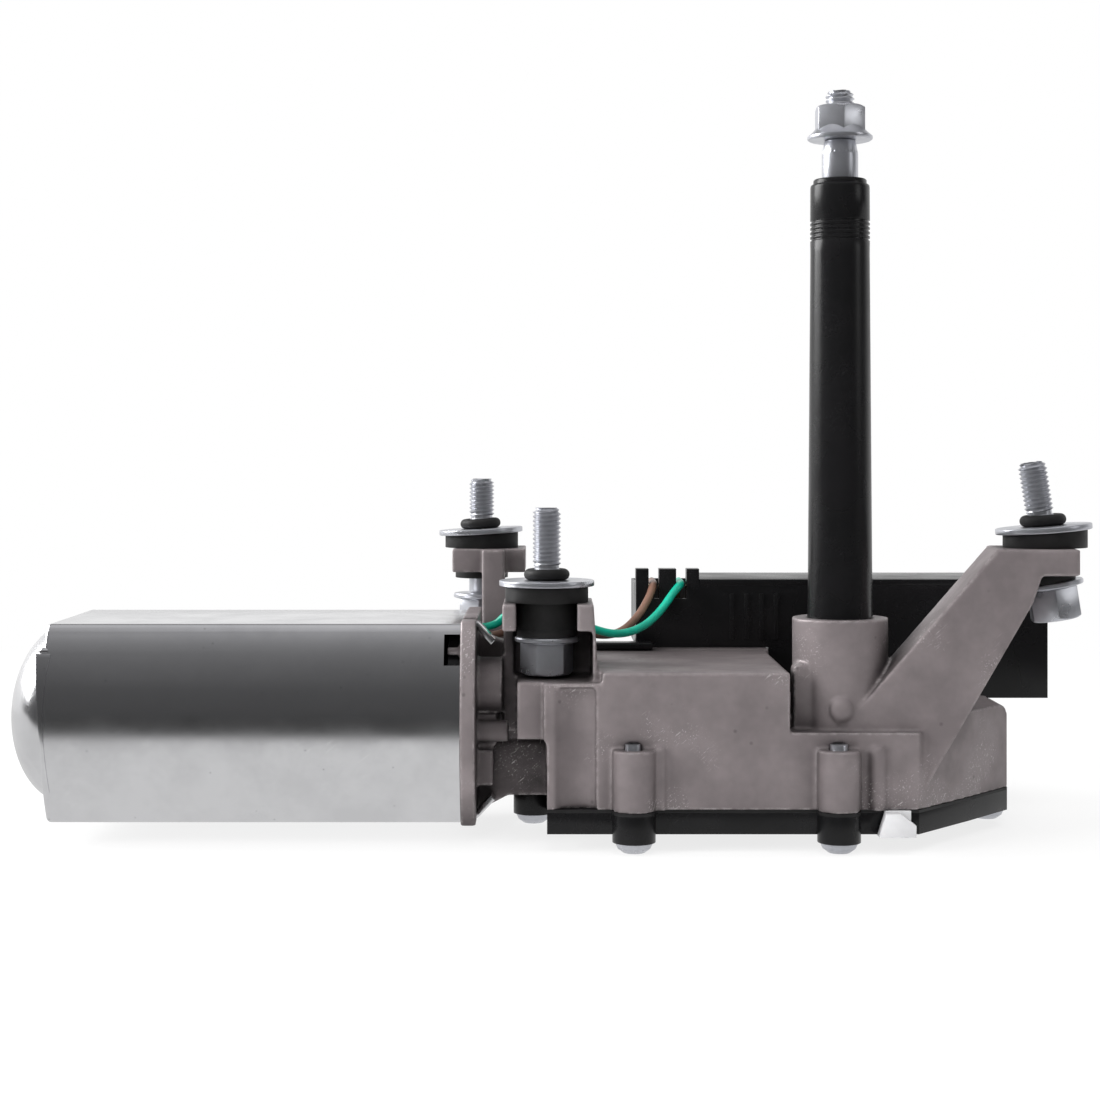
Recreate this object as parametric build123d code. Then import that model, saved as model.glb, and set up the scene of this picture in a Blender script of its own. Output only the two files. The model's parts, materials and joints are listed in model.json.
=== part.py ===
from build123d import *
import math
import os

os.makedirs("parts", exist_ok=True)

# Sizes are in millimetres. X and Y are measured from the wiper spindle's axis, X along the
# motor towards the spindle. Heights are measured from the face where the gear housing meets
# its bottom cover, and export lifts every piece so that z = 0 is the cover's outer face.

# Clearances
running_gap = 0.05
working_gap = 0.3
seat_gap = 0.1

# Motor: a double-D steel can with its axis along X
motor_y = 18.0
motor_z = 22.5
can_radius = 34.0
can_flat = 6.5
can_wall = 2.0
can_length = 113.1
can_right = -105.9
bell_depth = 16.5
bell_step = 8.0
bell_wall = 1.4
bell_tab_depth = 2.3
bell_tab_low = -17.5
bell_tab_high = 22.0
flange_thickness = 4.2
flange_overhang = 0.8
tab_width = 8.0
tab_offset = -15.0
tab_thickness = 1.6
tab_reach = 8.5
magnet_thickness = 6.7
magnet_span = 92.0
magnet_overhang = 5.0

# Armature
shaft_radius = 4.0
shaft_end_gap = 2.1
air_gap = 1.6
core_length = 48.0
core_slots = 12
slot_width = 4.0
slot_depth = 10.0
tooth_tip = 3.1
winding_length = 11.0
winding_gap = 3.0
commutator_radius = 11.0
commutator_length = 16.0
commutator_gap = 8.7
commutator_bars = 12
brush_width = 6.0
brush_height = 8.0
brush_length = 12.0
brush_plate_thickness = 3.0

# Worm and wheel
worm_x = -58.0
worm_length = 24.0
worm_pitch_radius = 4.875
gear_module = 1.25
wheel_teeth = 37
pressure_angle = 20.0
tooth_gap = 0.36
wheel_thickness = 8.0
wheel_web = 4.0
wheel_rim = 4.0
axle_radius = 4.5
crank_radius = 10.4
crank_pin_radius = 4.0

# Sector linkage that turns the spindle
sector_module = 1.3
pinion_teeth = 16
sector_full_teeth = 24
sector_kept_teeth = 6
gear_face = 7.0
gear_bottom = 6.2
rod_width = 12.0
rod_thickness = 4.6
link_thickness = 2.0
link_pin_radius = 4.0
link_pad_radius = 8.0

# Spindle, sleeve and wiper arm nut
spindle_radius = 5.05
spindle_bottom = 1.4
sleeve_base_radius = 9.1
sleeve_top_radius = 8.25
sleeve_bore_radius = 6.6
sleeve_top = 173.6
sleeve_shoulder = 1.4
sleeve_spigot = 8.0
seat_length = 8.0
taper_top = 184.4
thread_radius = 4.0
thread_top = 198.4
nut_flange_radius = 9.1
nut_flange_height = 4.0
nut_across_flats = 13.0
nut_height = 9.6
bush_wall = 1.9
bush_length = 12.0

# Gear housing
front_y = -16.0
housing_left = -67.0
base_left = -82.0
base_height = 18.7
roof_wall = 5.7
wheel_room = 5.1
right_roof_height = 24.4
ledge_height = 21.0
ledge_y = -7.5
step_x = -15.8
front_right = 19.2
side_x = 37.0
side_y = 4.2
casting_wall = 4.0
back_y = 51.0
boss_radius = 13.3
boss_top = 51.2
tunnel_radius = 11.0
tunnel_bore = 7.6
wheel_chamber_radius = 27.5
link_ceiling = 17.4

# Bottom cover, its screws and seal
cover_depth = 6.6
cover_plate = 2.4
seal_thickness = 0.8
screw_radius = 2.4
screw_head_radius = 5.0
screw_head_height = 2.8
boss_front_left = (-58.4, -17.0)
boss_front_right = (-2.7, -17.0)
boss_right = (48.5, 35.0)
boss_back = (-12.0, 53.5)
boss_left = (-86.0, 28.0)
cover_boss_radius = 5.9
cover_boss_height = 16.6
cover_boss_drop = 8.4
screw_tip = 1.4

# Isolator mountings: x and y of the stud, height of the washer's top, height of the stud's tip,
# lean of the bolt in the rubber, lean of the washer, the way the bracket's slot opens, and how
# far the bolt's head hangs below the rubber. Angles are in degrees, the third from +X.
front_mount = (-82.1, 0.0, 61.6, 81.8, 0.0, 0.0, -90.0, 0.2)
back_mount = (-103.0, 79.0, 73.2, 89.0, 0.0, 3.0, 180.0, 5.0)
right_mount = (57.4, 0.0, 76.8, 94.8, 9.0, 4.5, 0.0, 0.2)
stud_radius = 4.0
stud_thread_radius = 3.93
stud_relief_radius = 3.4
stud_relief_length = 1.2
stud_thread_start = 4.0
washer_radius = 13.3
washer_thickness = 1.6
ring_radius = 6.4
ring_section = 1.6
rubber_radius = 11.6
rubber_top = 4.4
rubber_neck_radius = 8.2
rubber_low_radius = 8.35
rubber_low_height = 2.1
bracket_thickness = 7.4
tube_radius = 5.4
head_flange_radius = 8.95
head_flange_height = 1.9
head_across_flats = 13.0
head_height = 8.8

# Electronics box
box_left = -56.0
box_right = 71.6
box_front = 54.0
box_back = 90.0
box_rise = 0.3
box_height = 19.0
box_step_x = -14.0
box_step_height = 15.6
box_wall = 2.0
lid_left = -35.3
lid_thickness = 1.8
post_rise = 5.0
post_depth = 6.0
board_thickness = 1.6
board_rise = 8.0
board_post_inset = 6.0
box_screw_x = 40.0
box_screw_y = 59.0
box_screw_radius = 1.6
mouth_front = 62.0
mouth_back = 82.0
mouth_height = 14.0
mouth_rise = 10.0
wire_radius = 1.2

# Values that follow from the driving dimensions
can_half_height = can_radius - can_flat
can_left = can_right - can_length
bell_radius = can_radius - bell_step
magnet_inner_radius = can_radius - can_wall - seat_gap - magnet_thickness
core_radius = magnet_inner_radius - air_gap
winding_radius = core_radius - tooth_tip
brush_plate_right = can_right - 0.4
brush_plate_left = brush_plate_right - brush_plate_thickness
commutator_right = brush_plate_left - commutator_gap
commutator_left = commutator_right - commutator_length
brush_x = (commutator_left + commutator_right) / 2
brush_inner = commutator_radius + 0.1
core_right = commutator_left - winding_gap - winding_length
core_left = core_right - core_length
magnet_left = core_left - magnet_overhang
magnet_right = core_right + magnet_overhang
shaft_left = can_left - bell_depth + bell_wall + shaft_end_gap
worm_lead = math.pi * gear_module
wheel_pitch_radius = gear_module * wheel_teeth / 2
centre_distance = worm_pitch_radius + wheel_pitch_radius
wheel_x = worm_x
wheel_y = motor_y + centre_distance
wheel_top = motor_z + wheel_thickness / 2
wheel_ceiling = wheel_top + wheel_room
roof_height = wheel_ceiling + roof_wall
wheel_bottom = motor_z - wheel_thickness / 2
worm_root_radius = worm_pitch_radius - 1.2 * gear_module
worm_tip_radius = worm_pitch_radius + 0.9 * gear_module
worm_left = worm_x - worm_length / 2
worm_right = worm_x + worm_length / 2
shaft_right = worm_right + 9.0
flange_right = can_right + flange_thickness
pinion_radius = sector_module * pinion_teeth / 2
sector_radius = sector_module * sector_full_teeth / 2
link_length = pinion_radius + sector_radius
gear_top = gear_bottom + gear_face
seat_start = taper_top - 3.8 - seat_length
lobe_radius = wheel_chamber_radius + casting_wall
box_high = roof_height + box_rise
box_low = box_high - box_step_height
box_top = box_high + box_height
post_top = box_top + post_rise
board_top = box_low + board_rise
lug_low = motor_z + can_half_height - 9.0

# Linkage at rest: the crank and the rod lie in one line, with the rod at its far reach
wheel_distance = math.hypot(wheel_x, wheel_y)
wheel_angle = math.degrees(math.atan2(wheel_y, wheel_x))
rod_length = math.sqrt(wheel_distance**2 - link_length**2)


def link_angle(reach):
    """Angle of the link about the spindle when its far pin is this far from the wheel's axis."""
    cosine = (link_length**2 + wheel_distance**2 - reach**2) / (2 * link_length * wheel_distance)
    return wheel_angle - math.degrees(math.acos(cosine))


def rod_angle(link_degrees):
    """Direction from the link's far pin to the wheel's axis."""
    pin_x = link_length * math.cos(math.radians(link_degrees))
    pin_y = link_length * math.sin(math.radians(link_degrees))
    return math.degrees(math.atan2(wheel_y - pin_y, wheel_x - pin_x))


link_rest = link_angle(rod_length + crank_radius)
link_end = link_angle(rod_length - crank_radius)
rod_rest = rod_angle(link_rest)
rod_end = rod_angle(link_end)
gear_ratio = sector_full_teeth / pinion_teeth
link_sweep = link_end - link_rest
rod_sweep = rod_end - rod_rest - link_sweep
spindle_sweep = link_sweep - gear_ratio * rod_sweep
pin_x = link_length * math.cos(math.radians(link_rest))
pin_y = link_length * math.sin(math.radians(link_rest))
crank_x = pin_x + rod_length * math.cos(math.radians(rod_rest))
crank_y = pin_y + rod_length * math.sin(math.radians(rod_rest))


# Building helpers

def cylinder(radius, low, high, x=0.0, y=0.0):
    disc = Cylinder(radius, high - low, align=(Align.CENTER, Align.CENTER, Align.MIN))
    return Pos(x, y, low) * disc


def along_x(radius, left, right, y=motor_y, z=motor_z):
    disc = Cylinder(radius, right - left, align=(Align.CENTER, Align.CENTER, Align.MIN))
    return Pos(left, y, z) * Rot(0, 90, 0) * disc


def along_y(radius, front, back, x, z):
    disc = Cylinder(radius, back - front, align=(Align.CENTER, Align.CENTER, Align.MIN))
    return Pos(x, front, z) * Rot(-90, 0, 0) * disc


def block(left, right, front, back, low, high):
    centre = Pos((left + right) / 2, (front + back) / 2, (low + high) / 2)
    return centre * Box(right - left, back - front, high - low)


def prism(points, low, high):
    """A plan outline raised from low to high."""
    return Pos(0, 0, low) * extrude(make_face(Polyline(*points, close=True)), high - low, dir=(0, 0, 1))


def side_prism(points, front, back):
    """An outline drawn in X and height, carried from front to back."""
    face = make_face(Plane.XZ * Polyline(*points, close=True))
    return Pos(0, front, 0) * extrude(face, back - front, dir=(0, 1, 0))


def end_prism(points, left, right):
    """An outline drawn in Y and height, carried from left to right."""
    face = make_face(Plane.YZ * Polyline(*points, close=True))
    return Pos(left, 0, 0) * extrude(face, right - left, dir=(1, 0, 0))


def turned(points, x=0.0, y=0.0):
    """A profile of radius and height turned about an upright axis."""
    face = make_face(Plane.XZ * Polyline(*points, close=True))
    return Pos(x, y, 0) * revolve(face, Axis.Z)


def turned_along_x(points, y=motor_y, z=motor_z):
    """A profile of x and radius turned about the motor's axis."""
    face = make_face(Plane.XZ * Polyline(*points, close=True))
    return Pos(0, y, z) * revolve(face, Axis.X)


def double_d(radius, half_height, left, right):
    """The motor's section: a circle with a flat top and bottom, carried along X."""
    low, high = motor_z - half_height, motor_z + half_height
    return along_x(radius, left, right) & block(left, right, motor_y - radius, motor_y + radius, low, high)


def involute(angle):
    return math.tan(angle) - angle


def gear_points(module, teeth, gap, first, count, tip_share=0.9, root_share=1.2):
    """Flank points of count teeth from tooth number first, as (radius, angle) pairs."""
    pitch = module * teeth / 2
    base = pitch * math.cos(math.radians(pressure_angle))
    half = math.pi / (2 * teeth) - gap / (2 * pitch) + involute(math.radians(pressure_angle))
    radii = [pitch - root_share * module, base, pitch - 0.4 * module, pitch, pitch + 0.5 * module]
    radii.append(pitch + tip_share * module)
    flank = []
    for radius in sorted(radii):
        inside = max(radius, base)
        flank.append((radius, half - involute(math.acos(base / inside))))
    points = []
    for tooth in range(first, first + count):
        centre = 2 * math.pi * tooth / teeth
        points += [(radius, centre - turn) for radius, turn in flank]
        points += [(radius, centre + turn) for radius, turn in reversed(flank)]
    return points


def flat(points, turn=0.0):
    """Radius and angle pairs as X and Y, turned by some degrees."""
    turned_by = math.radians(turn)
    return [(radius * math.cos(a + turned_by), radius * math.sin(a + turned_by)) for radius, a in points]


def union(pieces):
    solid = pieces[0]
    for piece in pieces[1:]:
        solid = solid + piece
    return solid


def polar(radius, degrees, x=0.0, y=0.0):
    return (x + radius * math.cos(math.radians(degrees)), y + radius * math.sin(math.radians(degrees)))


# Motor

def make_motor_can():
    shell = double_d(can_radius, can_half_height, can_left, can_right)
    shell -= double_d(can_radius - can_wall, can_half_height - can_wall, can_left - 1, can_right + 1)
    front = motor_y - can_radius
    notch_low = motor_z + bell_tab_low
    notch_high = motor_z + bell_tab_high
    notch_right = can_left + bell_tab_depth
    shell -= block(can_left - 1, notch_right, front - 1, motor_y - 20, notch_low, notch_high)
    shell -= block(can_right - 4.0, can_right + 1, front - 1, front + 9, lug_low, lug_low + 6.0)
    top = motor_z + can_half_height
    low = motor_z - can_half_height
    for face, inward in ((top, -1), (low, 1)):
        strap = side_prism(
            [
                (can_right - 0.5, face),
                (flange_right + 0.2, face),
                (flange_right + tab_reach * 0.62, face + inward * tab_reach * 0.62),
                (flange_right + tab_reach * 0.62 - 1.3, face + inward * (tab_reach * 0.62 + 1.3)),
                (flange_right + 0.2, face + inward * (tab_thickness + 0.7)),
                (flange_right + 0.2, face + inward * tab_thickness),
                (can_right - 0.5, face + inward * tab_thickness),
            ],
            motor_y + tab_offset - tab_width / 2,
            motor_y + tab_offset + tab_width / 2,
        )
        shell += strap
    return shell


def make_end_bell():
    steps = 8
    outer = []
    inner = []
    for step in range(steps + 1):
        angle = math.pi / 2 * step / steps
        for shape, shrink in ((outer, 0.0), (inner, bell_wall)):
            x = can_left - (bell_depth - shrink) * math.cos(angle)
            shape.append((x, (bell_radius - shrink) * math.sin(angle)))
    dome = turned_along_x(outer + list(reversed(inner)))
    fit = can_wall + seat_gap
    rim = double_d(can_radius - fit, can_half_height - fit, can_left, can_left + 1.6)
    rim -= along_x(bell_radius - bell_wall, can_left - 1, can_left + 3)
    front = motor_y - can_radius
    tab = double_d(can_radius, can_half_height, can_left, can_left + 1.6)
    tab &= block(
        can_left,
        can_left + 1.6,
        front - 1,
        motor_y - 22,
        motor_z + bell_tab_low + working_gap,
        motor_z + bell_tab_high - working_gap,
    )
    cup = along_x(shaft_radius + 5.0, can_left - bell_depth + 1.0, can_left - 4.0)
    cup -= along_x(shaft_radius + 3.0, can_left - bell_depth + 3.0, can_left - 3.0)
    return dome + rim + tab + cup


def make_rear_bush():
    left = can_left - bell_depth + 4.4
    bush = along_x(shaft_radius + 3.0, left, can_left - 4.6)
    return bush - along_x(shaft_radius + running_gap, left - 1, can_left)


def make_rear_retainer():
    washer = along_x(shaft_radius + 6.0, can_left - 4.0, can_left - 3.2)
    return washer - along_x(shaft_radius + 1.2, can_left - 5, can_left - 2)


def make_magnets():
    outer = can_radius - can_wall - seat_gap
    arcs = []
    for side in (-90, 90):
        ring = along_x(outer, magnet_left, magnet_right)
        ring -= along_x(magnet_inner_radius, magnet_left - 1, magnet_right + 1)
        reach = can_radius + 5
        wedge = end_prism(
            [
                (motor_y, motor_z),
                polar(reach, (0 if side > 0 else 180) - magnet_span / 2, motor_y, motor_z),
                (motor_y + math.copysign(reach, side), motor_z - (reach - 12) * math.copysign(1, side)),
                (motor_y + math.copysign(reach, side), motor_z + (reach - 12) * math.copysign(1, side)),
                polar(reach, (0 if side > 0 else 180) + magnet_span / 2, motor_y, motor_z),
            ],
            magnet_left - 1,
            magnet_right + 1,
        )
        slab = block(
            magnet_left - 1,
            magnet_right + 1,
            motor_y - can_radius,
            motor_y + can_radius,
            motor_z - can_half_height + can_wall + seat_gap,
            motor_z + can_half_height - can_wall - seat_gap,
        )
        arcs.append(ring & wedge & slab)
    return arcs


def make_magnet_springs():
    """Bent spring wires that push the two magnets apart at the top and bottom."""
    springs = []
    half = math.radians(magnet_span / 2)
    radius = (magnet_inner_radius + can_radius - can_wall) / 2
    reach_y = radius * math.cos(half)
    height = can_half_height - can_wall - 1.4
    span = reach_y - 3.9
    half_path = [(span, 0.0), (span + 2.2, -4.1), (span + 3.1, -3.5), (span + 1.0, 1.2)]
    for side in (-1, 1):
        right = [(motor_y + reach, motor_z + side * (height + rise)) for reach, rise in half_path]
        left = [(motor_y - reach, motor_z + side * (height + rise)) for reach, rise in reversed(half_path)]
        springs.append(end_prism(right + left, magnet_left + 6, magnet_right - 6))
    return springs


def make_armature_shaft():
    shaft = along_x(shaft_radius, shaft_left, worm_left - 3.0)
    shaft += along_x(worm_root_radius, worm_left - 3.5, worm_right + 2.0)
    shaft += along_x(shaft_radius - 1.0, worm_right + 1.5, shaft_right)
    turns_length = worm_length - worm_lead
    path = Helix(pitch=worm_lead, height=turns_length, radius=worm_root_radius - 0.02)
    slope = math.tan(math.radians(pressure_angle))
    root_half = worm_lead / 4 + (worm_pitch_radius - worm_root_radius) * slope - tooth_gap / 2
    tip_half = worm_lead / 4 - (worm_tip_radius - worm_pitch_radius) * slope - tooth_gap / 2
    depth = worm_tip_radius - worm_root_radius
    corners = [(-0.3, -root_half), (depth, -tip_half), (depth, tip_half), (-0.3, root_half)]
    outline = Polyline(*corners, close=True)
    start = Plane(origin=path @ 0, x_dir=(1, 0, 0), z_dir=path % 0)
    thread = sweep(make_face(start * outline), path=path, is_frenet=True)
    # The wheel has a tooth centre facing the worm, so a gap between two threads faces the wheel
    half_turns = (turns_length / 2 / worm_lead) * 360
    thread = Pos(0, 0, -turns_length / 2) * thread
    thread = Rot(0, 0, 90 - half_turns + 180) * thread
    thread = Pos(worm_x, motor_y, motor_z) * Rot(0, 90, 0) * thread
    return shaft + thread


def make_rotor_core():
    core = along_x(core_radius, core_left, core_right)
    for slot in range(core_slots):
        turn = 360 / core_slots * slot
        floor = core_radius - slot_depth
        cut = block(core_left - 1, core_right + 1, -slot_width / 2, slot_width / 2, floor, core_radius - 2.2)
        mouth = block(core_left - 1, core_right + 1, -0.8, 0.8, core_radius - 3, core_radius + 1)
        core -= Pos(0, motor_y, motor_z) * Rot(turn, 0, 0) * (cut + mouth)
    return core - along_x(shaft_radius, core_left - 1, core_right + 1)


def make_windings():
    """The end turns at both ends of the core and the sides of the coils in its slots."""
    coils = []
    inner = shaft_radius + 2.5
    for face, outward in ((core_left, -1), (core_right, 1)):
        far = face + outward * winding_length
        shoulder = face + outward * winding_length * 0.7
        coils.append(
            turned_along_x(
                [
                    (face, inner),
                    (face, winding_radius),
                    (shoulder, winding_radius),
                    (far, winding_radius - 4),
                    (far, inner + 3),
                    (shoulder, inner),
                ]
            )
        )
    winding = union(coils)
    for slot in range(core_slots):
        turn = 360 / core_slots * slot
        side = block(
            core_left - 0.5,
            core_right + 0.5,
            -slot_width / 2 + seat_gap,
            slot_width / 2 - seat_gap,
            core_radius - slot_depth + seat_gap,
            winding_radius - 0.2,
        )
        winding += Pos(0, motor_y, motor_z) * Rot(turn, 0, 0) * side
    return winding


def make_commutator():
    drum = along_x(commutator_radius, commutator_left, commutator_right)
    riser = along_x(commutator_radius + 2.2, commutator_left - 1.8, commutator_left)
    drum += riser
    for bar in range(commutator_bars):
        turn = 360 / commutator_bars * (bar + 0.5)
        low = commutator_radius - 1.2
        cut = block(commutator_left - 2, commutator_right + 1, -0.35, 0.35, low, low + 4.2)
        drum -= Pos(0, motor_y, motor_z) * Rot(turn, 0, 0) * cut
    return drum - along_x(shaft_radius, commutator_left - 3, commutator_right + 1)


def make_brush_plate():
    size = can_radius - can_wall - seat_gap
    plate = double_d(size, can_half_height - can_wall - seat_gap, brush_plate_left, brush_plate_right)
    plate -= along_x(shaft_radius + 4.0, brush_plate_left - 1, can_right)
    for side in (-1, 1):
        wall_top = motor_z + brush_height / 2 + 2.4
        wall_low = motor_z - brush_height / 2 - 2.4
        inner = motor_y + side * (brush_inner + 2.0)
        outer = motor_y + side * (brush_inner + brush_length + 3.0)
        shelf = block(
            brush_x - brush_width / 2 - 2.6,
            brush_plate_left + 0.2,
            min(inner, outer),
            max(inner, outer),
            wall_low,
            wall_top,
        )
        hollow = block(
            brush_x - brush_width / 2 - 0.9,
            brush_x + brush_width / 2 + 0.9,
            min(inner, outer) - 1,
            max(inner, outer) + 1,
            motor_z - brush_height / 2 - 0.9,
            motor_z + brush_height / 2 + 0.9,
        )
        plate += shelf - hollow
    return plate


def make_brush_holders():
    tubes = []
    for side in (-1, 1):
        inner = motor_y + side * (brush_inner + 1.4)
        outer = motor_y + side * (brush_inner + brush_length + 3.4)
        tube = block(
            brush_x - brush_width / 2 - 0.8,
            brush_x + brush_width / 2 + 0.8,
            min(inner, outer),
            max(inner, outer),
            motor_z - brush_height / 2 - 0.8,
            motor_z + brush_height / 2 + 0.8,
        )
        tube -= block(
            brush_x - brush_width / 2 - seat_gap,
            brush_x + brush_width / 2 + seat_gap,
            min(inner, outer) - 1,
            max(inner, outer) + 1,
            motor_z - brush_height / 2 - seat_gap,
            motor_z + brush_height / 2 + seat_gap,
        )
        tubes.append(tube)
    return tubes


def make_brushes():
    blocks = []
    for side in (-1, 1):
        inner = motor_y + side * brush_inner
        outer = motor_y + side * (brush_inner + brush_length)
        brush = block(
            brush_x - brush_width / 2,
            brush_x + brush_width / 2,
            min(inner, outer),
            max(inner, outer),
            motor_z - brush_height / 2,
            motor_z + brush_height / 2,
        )
        blocks.append(brush - along_x(brush_inner + 0.2, brush_x - 9, brush_x + 9))
    return blocks


def make_brush_springs():
    """Rolled strip springs that sit in the holders behind the brushes."""
    rolls = []
    for side in (-1, 1):
        centre = motor_y + side * (brush_inner + brush_length + 2.4)
        roll = cylinder(2.3, motor_z - 2.4, motor_z + 2.4, brush_x, centre)
        roll -= cylinder(1.5, motor_z - 3, motor_z + 3, brush_x, centre)
        rolls.append(roll)
    return rolls


bearing_ball_radius = 7.8
bearing_half_length = 5.0
bearing_middle = flange_right + 1.4


def bearing_body():
    """The barrel of a self-aligning bearing, a slice of a ball."""
    rim = []
    for step in range(-3, 4):
        offset = bearing_half_length * step / 3
        rim.append((bearing_middle + offset, math.sqrt(bearing_ball_radius**2 - offset**2)))
    return turned_along_x([(rim[0][0], 0.0)] + rim + [(rim[-1][0], 0.0)])


def make_front_bearing():
    left = bearing_middle - bearing_half_length - 1
    right = bearing_middle + bearing_half_length + 1
    return bearing_body() - along_x(shaft_radius + running_gap, left, right)


def make_end_bush():
    left = worm_right + 3.0
    bush = along_x(tunnel_bore - 0.6, left, shaft_right - 0.6)
    return bush - along_x(shaft_radius - 1.0 + running_gap, left - 1, shaft_right + 1)


def make_thrust_pad():
    return along_x(tunnel_bore - 0.6, shaft_right + 0.1, shaft_right + 2.6)


# Gear train

def make_worm_wheel():
    helix_turn = math.degrees(
        wheel_thickness * gear_module / (2 * worm_pitch_radius) / wheel_pitch_radius
    )
    points = gear_points(gear_module, wheel_teeth, tooth_gap, 0, wheel_teeth)
    low = Pos(0, 0, wheel_bottom) * make_face(Polyline(*flat(points, -90 - helix_turn / 2), close=True))
    high = Pos(0, 0, wheel_top) * make_face(Polyline(*flat(points, -90 + helix_turn / 2), close=True))
    wheel = loft([low, high], ruled=True)
    pitch = wheel_pitch_radius
    inner = pitch - 1.2 * gear_module - wheel_rim
    hub = axle_radius + 4.0
    web_top = wheel_bottom + wheel_web
    wheel -= cylinder(inner, web_top, wheel_top + 1) - cylinder(hub, web_top - 1, wheel_top + 2)
    wheel -= cylinder(axle_radius + running_gap, wheel_bottom - 1, wheel_top + 1)
    wheel -= cylinder(axle_radius + 2.4, wheel_bottom - 1, wheel_bottom + 2.2)
    for spoke in range(6):
        turn = 60 * spoke + 30
        x, y = polar((inner + hub) / 2, turn)
        wheel += Pos(x, y, web_top + 1.4) * Rot(0, 0, turn) * Box(inner - hub + 1.0, 2.0, 2.8)
    return Pos(wheel_x, wheel_y, 0) * wheel


contact_top = wheel_top + 0.8


def make_contact_disc():
    pitch = wheel_pitch_radius
    outer = pitch - 1.2 * gear_module - 0.4
    ring = cylinder(outer, wheel_top, contact_top) - cylinder(outer - 2.8, wheel_top - 1, contact_top + 1)
    tongue = Pos(outer - 4.2, 0, wheel_top + 0.4) * Box(3.6, 4.0, 0.8)
    ring += Rot(0, 0, 150) * tongue
    return Pos(wheel_x, wheel_y, 0) * ring


def make_contact_fingers():
    """Two spring fingers that hang from the roof and end just above the contact disc."""
    fingers = []
    track = wheel_pitch_radius - 1.2 * gear_module - 1.8
    for turn in (60, 84):
        strip = side_prism(
            [
                (track - 9.0, wheel_ceiling),
                (track + 3.0, wheel_ceiling),
                (track + 3.0, wheel_ceiling - 0.5),
                (track + 0.6, contact_top + 0.35),
                (track - 0.6, contact_top + 0.35),
                (track + 1.6, wheel_ceiling - 0.5),
                (track - 9.0, wheel_ceiling - 0.5),
            ],
            -1.6,
            1.6,
        )
        fingers.append(Pos(wheel_x, wheel_y, 0) * Rot(0, 0, turn) * strip)
    return fingers


def make_wheel_axle():
    axle = cylinder(axle_radius, wheel_bottom + 0.4, roof_height - 1.5)
    groove = cylinder(axle_radius + 1, wheel_bottom + 1.1, wheel_bottom + 2.0)
    groove -= cylinder(axle_radius - 0.8, wheel_bottom, wheel_bottom + 3)
    return Pos(wheel_x, wheel_y, 0) * (axle - groove)


def make_axle_clip():
    ring = cylinder(axle_radius + 1.8, wheel_bottom + 1.2, wheel_bottom + 1.9)
    ring -= cylinder(axle_radius - 0.7, wheel_bottom, wheel_bottom + 3)
    ring -= Pos(axle_radius + 1, 0, wheel_bottom + 1.5) * Box(4.4, 5.4, 2)
    return Pos(wheel_x, wheel_y, 0) * ring


def make_sector_rod():
    """The rod from the crank pin to the link's pin, with the toothed sector at that end."""
    step = 2 * math.pi / sector_full_teeth
    teeth_first = -(sector_kept_teeth - 1) / 2
    points = gear_points(sector_module, sector_full_teeth, tooth_gap, 0, sector_kept_teeth)
    points = [(radius, angle + teeth_first * step) for radius, angle in points]
    outline = [(0.0, 0.0)] + flat(points)
    sector = prism(outline, gear_bottom, gear_top)
    # The middle of the sector faces the pinion halfway through the sweep
    sector = Rot(0, 0, 180 + link_rest - rod_sweep / 2) * sector
    sector += cylinder(link_pin_radius + 4.0, gear_bottom, gear_top)
    sector = Pos(pin_x, pin_y, 0) * sector
    middle = ((pin_x + crank_x) / 2, (pin_y + crank_y) / 2)
    bar = Pos(middle[0], middle[1], gear_bottom + rod_thickness / 2)
    bar = bar * Rot(0, 0, rod_rest) * Box(rod_length, rod_width, rod_thickness)
    bar += cylinder(rod_width / 2, gear_bottom, gear_bottom + rod_thickness, crank_x, crank_y)
    rod = sector + bar
    rod -= cylinder(link_pin_radius, gear_bottom - 1, gear_top + 1, pin_x, pin_y)
    return rod - cylinder(crank_pin_radius, gear_bottom - 1, gear_top + 1, crank_x, crank_y)


link_upper_low = gear_top + working_gap
link_upper_top = link_upper_low + link_thickness
link_lower_top = gear_bottom - working_gap
link_lower_low = link_lower_top - link_thickness


def make_link_plates():
    plates = []
    for low, high in ((link_lower_low, link_lower_top), (link_upper_low, link_upper_top)):
        plate = cylinder(link_pad_radius, low, high) + cylinder(link_pad_radius, low, high, pin_x, pin_y)
        bar = Pos(pin_x / 2, pin_y / 2, (low + high) / 2) * Rot(0, 0, link_rest)
        plate += bar * Box(link_length, link_pad_radius * 1.5, high - low)
        plate -= cylinder(spindle_radius + running_gap, low - 1, high + 1)
        plate -= cylinder(link_pin_radius - 1.0, low - 1, high + 1, pin_x, pin_y)
        plates.append(plate)
    return plates


def make_link_pin():
    pin = cylinder(link_pin_radius - running_gap, link_lower_top, link_upper_low, pin_x, pin_y)
    pin += cylinder(link_pin_radius - 1.0, link_lower_low - 0.6, link_upper_top + 0.6, pin_x, pin_y)
    return pin


def make_crank_pin():
    top = wheel_bottom - working_gap
    pin = cylinder(crank_pin_radius, gear_bottom, top, crank_x, crank_y)
    return pin + cylinder(crank_pin_radius + 1.4, gear_bottom - 1.2, gear_bottom, crank_x, crank_y)


# Spindle

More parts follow.
